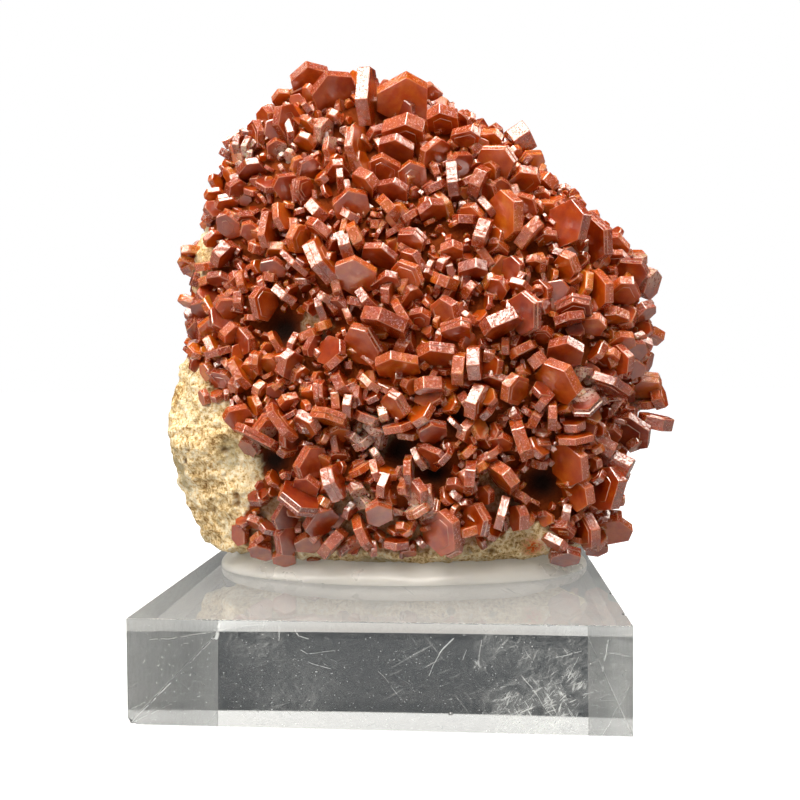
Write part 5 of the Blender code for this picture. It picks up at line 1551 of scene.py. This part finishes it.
# Noises: lumps in a metre, detail and roughness of each.
CLOUDS = (300.0, 4.0, 0.6)
GRAINS = (2600.0, 3.0, 0.7)
FROST_GRAINS = (1500.0, 4.0, 0.7)
PITS = (2300.0, 3.0, 0.65)
WAVES = (700.0, 2.0, 0.5)
ROUGH_PATCHES = (170.0, 2.0)
SATIN = (900.0,)
SCORES = (3200.0, 260.0, 1.0)       # fine across a side face, long along the axis
BUMP_DEPTH = 0.00006                # metres


def vanadinite():
    """Translucent crystal, satin on its ends; glossy and pitted on its sides, with a painted
    pinkish sheen, and a painted highlight on its edges.
    """
    made, tree, place = start_material("vanadinite")
    growth = tree.kept("growth", out="Color")
    side = tree.node("ShaderNodeSeparateColor", None, {"Color": growth}, out="Red")
    blunt = tree.node("ShaderNodeSeparateColor", None, {"Color": growth}, out="Green")
    tone = tree.kept("tone")
    flat = tree.node("ShaderNodeUVMap", {"uv_map": "crystal_uv"})

    clouds = tree.noise(place, *CLOUDS)
    depth = tone * 0.70 + clouds * 1.1 - 0.42
    body = tree.colours(BODY_TONES, depth)
    grains = tree.noise(place, *GRAINS)
    # dusty grains and a painted pinkish sheen, stronger on the side faces
    dust_and_sheen = tree.smooth(grains + clouds * 0.5, 0.72, 1.0)
    body_dust_and_sheen = tree.mix(body, DUST_AND_SHEEN_TINT, side * 0.06 + dust_and_sheen * (0.05 + side * 0.08))
    # painted highlight: the blunt edges are made paler
    edge_highlighted = tree.mix(body_dust_and_sheen, EDGE_HIGHLIGHT_TINT, blunt * 0.4)

    def frosted(across, up, radius):
        """1 near the middle of a frosted place."""
        centre = lay_on_rock(ROCK, across, up, FROST_LIFT)
        away = tree.distance(place, tuple(centre * MM))
        return 1.0 - tree.smooth(away, radius * 0.6 * MM, radius * 1.2 * MM)

    frost = tree.strongest(frosted(*where) for where in FROSTED)
    frost = frost * tree.smooth(tree.noise(place, *FROST_GRAINS), 0.36, 0.56)
    colour = tree.mix(edge_highlighted, FROST_TINT, frost * 0.75)

    scored = tree.noise(tree.stretched(flat, (0.0, 0.0, 0.0), SCORES), 1.0)
    pits = tree.smooth(tree.noise(place, *PITS), 0.50, 0.60)
    waves = tree.noise(place, *WAVES)
    rough = tree.smooth(tree.noise(place, *ROUGH_PATCHES), 0.40, 0.62)
    relief = (side * (scored * 0.35 + pits * (0.25 + rough * 0.75) + waves * 3.4)
              + waves * 1.4 + pits * 0.2 + grains * 0.35)
    gloss = (0.15 - side * 0.10 + tree.noise(place, *SATIN) * 0.06 + pits * side * 0.2
             + frost * 0.3)

    shader = tree.node("ShaderNodeBsdfPrincipled", None, {
        "Base Color": colour, "Roughness": gloss, "IOR": VANADINITE_IOR,
        "Subsurface Weight": 0.5, "Subsurface Radius": (1.0, 0.20, 0.05),
        "Subsurface Scale": 0.0016, "Transmission Weight": 0.3,
        "Normal": tree.bump(relief, BUMP_DEPTH, 0.7),
    })
    end_material(tree, shader)
    return made


crystal_finish = vanadinite()
print("crystal finish:", len(crystal_finish.node_tree.nodes), "nodes")

# %% [markdown]
# ## The matrix
#
# Cream and tan where it is bare, brown in the pits, and a dark red-brown under the
# crystals, partly a stain and partly painted shade between them. In the hollows it is
# painted nearly black as shade, and there is one rust-orange fleck at the foot.

# %% The rock finish
RUST = (26.5, -29.0)        # a rust-orange fleck: across and up on the sight plane
RUST_TINT = (0.60, 0.10, 0.008)
GROUND_TONES = [            # from tan to cream
    (0.38, (0.26, 0.13, 0.04)),
    (0.46, (0.62, 0.42, 0.18)),
    (0.52, (0.86, 0.68, 0.40)),
    (0.62, (0.95, 0.89, 0.72)),
]
OLIVE_TINT = (0.30, 0.25, 0.13)
PIT_TINT = (0.17, 0.08, 0.025)
# under the crystals: a red-brown stain, darkened by painted shade between the crystals
CRUST_STAIN_AND_SHADE_TINTS = ((0.10, 0.010, 0.001), (0.36, 0.070, 0.006))
# painted shade: the rock is painted nearly black deep in the hollows
HOLLOW_SHADE_TINT = (0.012, 0.004, 0.002)
# Noises: lumps in a metre, detail and roughness of each.
STONE_PATCHES = (95.0, 4.0, 0.6)
STONE_GRAINS = (1300.0, 4.0, 0.7)
OLIVE_PATCHES = (90.0, 2.0)
STONE_DUST = (3800.0, 2.0)


def matrix_stone():
    """Granular stone, dry and dull."""
    made, tree, place = start_material("matrix_stone")
    cover = tree.kept("cover")
    pitted = tree.kept("pitted")
    patches = tree.noise(place, *STONE_PATCHES)
    grains = tree.noise(place, *STONE_GRAINS)
    ground = tree.colours(GROUND_TONES, patches * 0.35 + grains * 0.67)
    olive = tree.smooth(tree.noise(place, *OLIVE_PATCHES), 0.54, 0.68)
    grey = tree.mix(ground, OLIVE_TINT, olive * 0.6)
    sunk = tree.mix(grey, PIT_TINT, tree.smooth(pitted, 0.1, 0.7) * 0.85)
    # red-brown stain and painted shade where crystals cover the rock
    stain_and_shade = tree.mix(*CRUST_STAIN_AND_SHADE_TINTS, grains)
    deep = tree.kept("deep")
    stained_and_shaded = tree.mix(sunk, stain_and_shade, cover)
    # painted shade: nearly black deep in the hollows
    dark = tree.mix(stained_and_shaded, HOLLOW_SHADE_TINT, tree.smooth(deep, 0.2, 0.9))
    away = tree.distance(place, tuple(lay_on_rock(ROCK, *RUST, 0.0) * MM))
    rusty = (1.0 - tree.smooth(away, 0.8 * MM, 3.5 * MM)) * tree.smooth(grains, 0.40, 0.55)
    colour = tree.mix(dark, RUST_TINT, rusty)
    relief = grains * 0.9 + tree.noise(place, *STONE_DUST) * 0.4
    shader = tree.node("ShaderNodeBsdfPrincipled", None, {
        "Base Color": colour, "Roughness": 0.88, "IOR": 1.5, "Specular IOR Level": 0.15,
        "Normal": tree.bump(relief, 0.0006, 1.0),
    })
    end_material(tree, shader)
    return made


rock_finish = matrix_stone()
print("rock finish:", len(rock_finish.node_tree.nodes), "nodes")

# %% [markdown]
# ## Putty and acrylic
#
# The putty is milky and lets light in a little way, and a faint painted glow stands in
# for the light that reaches it through the block. The acrylic is plain clear plastic:
# full transmission at an index of 1.49. Handling left dust, fine hairlines, a few long
# scratches and a scuffed corner on the front, and the two side faces were only sawn. All
# of that is whitish, so a mask mixes a dull surface over the clear one. Strokes and
# hairlines are noise stretched along a turned axis.

# %% The two clear finishes
PUTTY_TINTS = ((0.56, 0.55, 0.53), (0.62, 0.61, 0.58))
# painted glow: stands in for light carried into the putty through the block
PUTTY_PAINTED_GLOW = (0.80, 0.77, 0.70, 1.0)
PUTTY_IOR = 1.41
ACRYLIC_IOR = 1.49
CLEAR_TINT = (0.975, 0.99, 0.985, 1.0)
DULL_TINT = (0.86, 0.91, 0.94, 1.0)


def putty():
    """Milky, with a soft gloss and a faint painted glow."""
    made, tree, place = start_material("putty")
    cloud = tree.noise(place, 130.0, 3.0)
    shader = tree.node("ShaderNodeBsdfPrincipled", None, {
        "Base Color": tree.mix(*PUTTY_TINTS, cloud),
        "Roughness": 0.20 + cloud * 0.2, "IOR": PUTTY_IOR,
        "Subsurface Weight": 0.8, "Subsurface Radius": (1.0, 0.97, 0.85),
        "Subsurface Scale": 0.006, "Transmission Weight": 0.35,
        # painted glow, not a lamp
        "Emission Color": PUTTY_PAINTED_GLOW, "Emission Strength": 0.13,
        "Normal": tree.bump(tree.noise(place, 400.0), 0.0002, 0.5),
    })
    end_material(tree, shader)
    return made


SCRATCHES = [               # on the front face: from, to (across, up), half width, strength
    ((-40.1, 15.2), (-24.7, 17.6), 0.05, 0.6),
    ((-24.7, 17.6), (-18.0, 18.8), 0.05, 0.4),
    ((-44.2, 0.2), (-36.4, 7.6), 0.06, 0.7),
    ((-43.6, 0.4), (-36.2, 3.8), 0.05, 0.5),
    ((-32.9, 11.4), (-28.1, 16.2), 0.06, 0.45),
    ((-28.0, 16.0), (-27.6, 18.2), 0.25, 0.9),
    ((-16.6, 17.9), (-16.8, 15.6), 0.08, 0.7),
    ((-19.4, 19.0), (-19.5, 17.6), 0.06, 0.7),
    ((-13.9, 17.6), (-13.4, 16.4), 0.09, 0.8),
    ((-13.4, 16.4), (-11.8, 15.9), 0.08, 0.8),
    ((-13.1, 13.9), (-12.0, 13.2), 0.06, 0.6),
    ((-12.0, 13.2), (-6.7, 13.9), 0.04, 0.6),
    ((-11.7, 11.8), (-7.8, 10.7), 0.05, 0.7),
    ((0.6, 10.3), (5.0, 5.6), 0.04, 0.45),
    ((13.9, 16.3), (11.5, 13.7), 0.08, 1.0),
    ((11.5, 13.7), (9.4, 9.8), 0.05, 0.8),
    ((16.3, 14.6), (15.6, 13.0), 0.05, 0.7),
    ((18.7, 16.2), (18.0, 11.0), 0.07, 0.5),
    ((25.4, 10.3), (28.6, 6.0), 0.08, 0.6),
    ((28.6, 6.0), (31.5, 2.0), 0.06, 0.6),
    ((31.4, 13.3), (35.5, 14.6), 0.05, 0.6),
    ((33.4, 9.9), (35.1, 13.7), 0.05, 0.6),
    ((40.2, 16.6), (39.5, 11.2), 0.10, 0.7),
    ((40.5, 14.5), (43.9, 13.9), 0.04, 0.5),
    ((43.9, 8.7), (39.2, 0.0), 0.05, 0.6),
]
SCUFFS = [                  # rubbed places on the front face: centre, radius, strength
    ((29.0, 2.5), 11.0, 1.0),
    ((24.0, 4.0), 7.0, 0.8),
    ((33.0, 7.5), 7.0, 0.9),
    ((27.5, 13.5), 4.0, 0.6),
    ((22.0, 16.0), 6.0, 0.40),
    ((32.5, 15.0), 6.0, 0.5),
    ((18.2, 11.5), 1.8, 0.9),
    ((-21.0, 15.5), 7.5, 0.3),
    ((-14.0, 3.0), 12.0, 0.22),
    ((40.0, 9.0), 6.0, 0.35),
]
FRONT = -BLOCK_WIDTH / 2.0 + 0.4    # the front face lies before this depth
HAIRLINES = [               # the way fine lines run on any face, and how rare they are
    ((0.3, 1.1, 0.4), 0.70),
    ((1.2, -0.5, 1.9), 0.71),
    ((-0.7, 0.6, 2.6), 0.72),
]
HAIRLINE_SCALE = 3400.0     # lines a metre, if they stood side by side
HAIRLINE_LENGTH = 30.0      # in their own widths
STROKE_TURNS = (0.35, 0.75, 1.2, 2.6)       # the ways the scuffs were rubbed
STROKE_SCALE = (2200.0, 300.0, 300.0)
SAWN = (44.30, 44.44)       # the side faces begin this far from the middle
# How much each mark dulls the clear surface, and how much all of them can.
HAZE_MARK = 0.06
HAIRLINE_MARK = 0.22
SPECK_MARK = 0.5
SCRATCH_MARK = 0.6
SCUFF_MARK = 0.72
SAWN_MARK = 0.44
MOST_MARK = 0.85


def scratch(tree, where, start, end, width, strength):
    """A line on the front face that fades out from its middle to its edge."""
    start = Vector((start[0], 0.0, start[1])) * MM
    along = Vector((end[0], 0.0, end[1])) * MM - start
    from_start = tree.vector("SUBTRACT", where, tuple(start))
    share = tree.vector("DOT_PRODUCT", from_start, tuple(along / along.length_squared), out=1)
    held = tree.node("ShaderNodeClamp", None, {"Value": share})
    away = tree.distance(from_start, tree.scaled(tuple(along), held))
    return (1.0 - tree.smooth(away, width * 0.4 * MM, width * 1.6 * MM)) * strength


def acrylic():
    """Clear plastic with dust, scratches and scuffs, its side faces dull from the saw."""
    made, tree, place = start_material("acrylic")
    x = tree.part(place, "X")
    y = tree.part(place, "Y")
    in_front = y < FRONT * MM
    wander = tree.node("ShaderNodeTexNoise", None,
                       {"Vector": place, "Scale": 160.0, "Detail": 2.0}, out="Color")
    swing = tree.scaled(tree.vector("SUBTRACT", wander, (0.5, 0.5, 0.5)), 1.6 * MM)
    bent = tree.vector("ADD", place, swing)
    front = tree.vector("MULTIPLY", bent, (1.0, 0.0, 1.0))

    lines = tree.strongest(scratch(tree, front, *line) for line in SCRATCHES)
    lines = lines * tree.smooth(tree.noise(place, 900.0, 2.0), 0.30, 0.50)

    def rubbed(centre, radius, strength):
        """A rubbed place that fades out from its middle."""
        away = tree.distance(front, (centre[0] * MM, 0.0, centre[1] * MM))
        return (1.0 - tree.smooth(away, radius * 0.2 * MM, radius * MM)) * strength

    def stroke(turn):
        """Strokes across the rubbed places, one way."""
        drawn = tree.stretched(swept, (0.0, turn, 0.0), STROKE_SCALE)
        return tree.smooth(tree.noise(drawn, 1.0, 3.0, 0.7), 0.54, 0.74)

    def hairlines(turn, rare):
        """Fine lines on every face, one way."""
        across = HAIRLINE_SCALE / HAIRLINE_LENGTH
        drawn = tree.stretched(place, turn, (HAIRLINE_SCALE, across, across))
        return tree.smooth(tree.noise(drawn, 1.0, 1.0), rare, rare + 0.03)

    patches = tree.strongest(rubbed(*scuff) for scuff in SCUFFS)
    swept = tree.mix(place, bent, 0.35)
    strokes = tree.strongest(stroke(turn) for turn in STROKE_TURNS)
    scuffs = patches * tree.smooth(tree.noise(place, 230.0, 3.0), 0.30, 0.50) * (
        strokes + tree.noise(place, 900.0, 4.0, 0.7) ** 3.0 * 0.9)
    fine = tree.strongest(hairlines(*line) for line in HAIRLINES)
    fine = fine * tree.smooth(tree.noise(place, 60.0, 2.0), 0.45, 0.65)
    specks = tree.smooth(tree.noise(place, 3900.0, 0.0), 0.80, 0.85)
    haze = tree.smooth(tree.noise(place, 1500.0, 4.0, 0.8), 0.35, 0.75) * HAZE_MARK
    sawn = tree.smooth(x.math("ABSOLUTE"), SAWN[0] * MM, SAWN[1] * MM)
    marks = haze + fine * HAIRLINE_MARK + specks * SPECK_MARK
    marks = marks + (lines * SCRATCH_MARK + scuffs * SCUFF_MARK) * in_front
    marks = marks + sawn * (SAWN_MARK + tree.noise(place, 420.0) * 0.2)
    marks = marks.math("MINIMUM", MOST_MARK)
    clear = tree.node("ShaderNodeBsdfPrincipled", None, {
        "Base Color": CLEAR_TINT, "Roughness": 0.015, "IOR": ACRYLIC_IOR,
        "Transmission Weight": 1.0,
    })
    dull = tree.node("ShaderNodeBsdfPrincipled", None, {
        "Base Color": DULL_TINT, "Roughness": 0.6, "IOR": ACRYLIC_IOR,
    })
    end_material(tree, tree.node("ShaderNodeMixShader", None, {0: marks, 1: clear, 2: dull}))
    return made


putty_finish = putty()
acrylic_finish = acrylic()
print("finishes ready")

# %% [markdown]
# ## Putting it together
#
# Each piece takes its finish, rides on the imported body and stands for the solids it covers.

# %% Finishing the pieces
CRYSTAL_NODES = sorted(name for name in frame["nodes"] if name.startswith("vanadinite"))

for piece in (large_crystals, flank_crust):
    piece.data.materials.append(crystal_finish)
matrix_rock.data.materials.append(rock_finish)
mounting_pad.data.materials.append(putty_finish)
clear_block_piece.data.materials.append(acrylic_finish)

small_crystals = plant("small_crystals", matrix_rock, crystal_kinds, crystal_finish, Seed=5)
medium_crystals = plant("medium_crystals", matrix_rock, crystal_kinds, crystal_finish, **{
    "Seed": 9, "Spacing": 3.0 * MM, "Smallest": 0.8, "Largest": 1.9,
    "Least stand off": 0.5 * MM, "Most stand off": 1.4 * MM,
})
for kind in list(crystal_kinds.objects):
    bpy.data.objects.remove(kind)
bpy.data.collections.remove(crystal_kinds)

set_in_place(large_crystals, "vanadinite", *CRYSTAL_NODES)
set_in_place(flank_crust, "vanadinite")
set_in_place(medium_crystals, "vanadinite")
set_in_place(small_crystals, "vanadinite")
set_in_place(matrix_rock, "matrix_stone", "matrix")
set_in_place(mounting_pad, "putty", "mounting_putty")
set_in_place(clear_block_piece, "acrylic", "acrylic_block")

# %% [markdown]
# ## Floor, light and camera
#
# A floor just under the block, one large soft lamp overhead and three weaker ones, all
# slightly warm. Floor and sky are pure white to the eye, so the specimen stands in a white
# void, but not to the block and the crystals: through the block the floor glows a soft
# grey, and the sky is dark but for a pale patch overhead that the faces mirror. A dim
# stretch behind is what the clear block gathers in its front face.

# %% The stage
FLOOR_SIZE = 6000.0
FLOOR_DROP = 0.25           # below the block
FLOOR_TINT = (0.30, 0.30, 0.30, 1.0)
FLOOR_GLOW = (0.45, 0.465, 0.475)
FLOOR_GLOW_UNDER = (0.41, 0.385, 0.365)     # right under the block
BLACK = (0.0, 0.0, 0.0)
WHITE = (1.0, 1.0, 1.0)
SKY_DARK = (0.03, 0.03, 0.03)
SKY_PATCH = (0.38, 0.345, 0.315)
SKY_PATCH_WAY = (-0.15, -0.60, 0.78)
SKY_BEHIND = (0.031, 0.038, 0.045)
WARM = (1.0, 0.94, 0.85)
LAMPS = [                   # name, place, size, power
    ("overhead", (-40.0, -260.0, 540.0), 420.0, 5.8),
    ("left_front", (-440.0, -380.0, 320.0), 260.0, 2.0),
    ("right_back", (460.0, 60.0, 420.0), 260.0, 1.6),
    ("left_back", (-260.0, 480.0, 420.0), 260.0, 1.4),
]
LIT_POINT = Vector((0.0, 0.0, 60.0))        # the lamps look at this


def floor_plane():
    """A wide floor, white to the eye and grey through the block."""
    form = bmesh.new()
    bmesh.ops.create_grid(form, x_segments=1, y_segments=1, size=FLOOR_SIZE / 2.0)
    for vert in form.verts:
        vert.co.z = -FLOOR_DROP
    plane = add_object("floor", mesh_of("floor", form))
    made, tree, place = start_material("pale_floor")
    seen = tree.ray("Camera")
    through = tree.ray("Transmission")
    under = 1.0 - tree.smooth(tree.node("ShaderNodeVectorMath", {"operation": "LENGTH"},
                                        {0: place}, out=1), 0.045, 0.075)
    glow = tree.mix(FLOOR_GLOW, FLOOR_GLOW_UNDER, under)
    end_material(tree, tree.node("ShaderNodeBsdfPrincipled", None, {
        "Base Color": FLOOR_TINT, "Roughness": 0.9,
        "Specular IOR Level": 0.1, "Emission Strength": 1.0,
        "Emission Color": tree.mix(tree.mix(BLACK, glow, through), WHITE, seen),
    }))
    plane.data.materials.append(made)
    return plane


floor = floor_plane()


def soft_lamp(name, place, size, power):
    """A square warm lamp turned to the specimen."""
    lamp = bpy.data.lights.new(name, "AREA")
    lamp.shape = "SQUARE"
    lamp.size = size * MM
    lamp.energy = power
    lamp.color = WARM
    made = bpy.data.objects.new(name, lamp)
    made.location = Vector(place) * MM
    aim = LIT_POINT - Vector(place)
    made.rotation_euler = aim.to_track_quat("-Z", "Y").to_euler()
    bpy.context.scene.collection.objects.link(made)


for lamp_row in LAMPS:
    soft_lamp(*lamp_row)


def sky():
    """White to the eye, and dark to the block and the crystals but for two parts."""
    world = bpy.data.worlds.new("studio")
    bpy.context.scene.world = world
    world.use_nodes = True
    world.node_tree.nodes.clear()
    tree = Tree(world.node_tree)
    way = tree.node("ShaderNodeTexCoord", out="Generated")
    ahead = tree.part(way, "Y")
    rise = tree.part(way, "Z")
    behind = tree.smooth(ahead, 0.80, 0.93) * (1.0 - tree.smooth(rise, 0.42, 0.60))
    seen = tree.ray("Camera")
    overhead = tree.vector("DOT_PRODUCT", way, SKY_PATCH_WAY, out=1)
    high = tree.mix(SKY_DARK, SKY_PATCH, tree.smooth(overhead, 0.55, 0.95))
    around = tree.mix(high, SKY_BEHIND, behind)
    colour = tree.mix(around, WHITE, seen)
    light = tree.node("ShaderNodeBackground", None, {"Color": colour, "Strength": 1.0})
    tree.node("ShaderNodeOutputWorld", None, {"Surface": light})


sky()
print("stage set:", len(LAMPS), "lamps")

# %% The camera
FOCAL = 886.25 / 800.0      # focal length as a share of the view's width
SENSOR = 36.0

camera = bpy.data.cameras.new("camera")
camera.sensor_width = SENSOR
camera.lens = FOCAL * SENSOR
camera.clip_start = 0.01
viewer = bpy.data.objects.new("camera", camera)
stance = Matrix((RIGHT, UP, -FORWARD)).transposed().to_4x4()
stance.translation = EYE * MM
viewer.matrix_world = stance
bpy.context.scene.collection.objects.link(viewer)
bpy.context.scene.camera = viewer
bpy.context.scene.view_settings.view_transform = "Standard"
print("camera", round(camera.lens, 2), "mm")
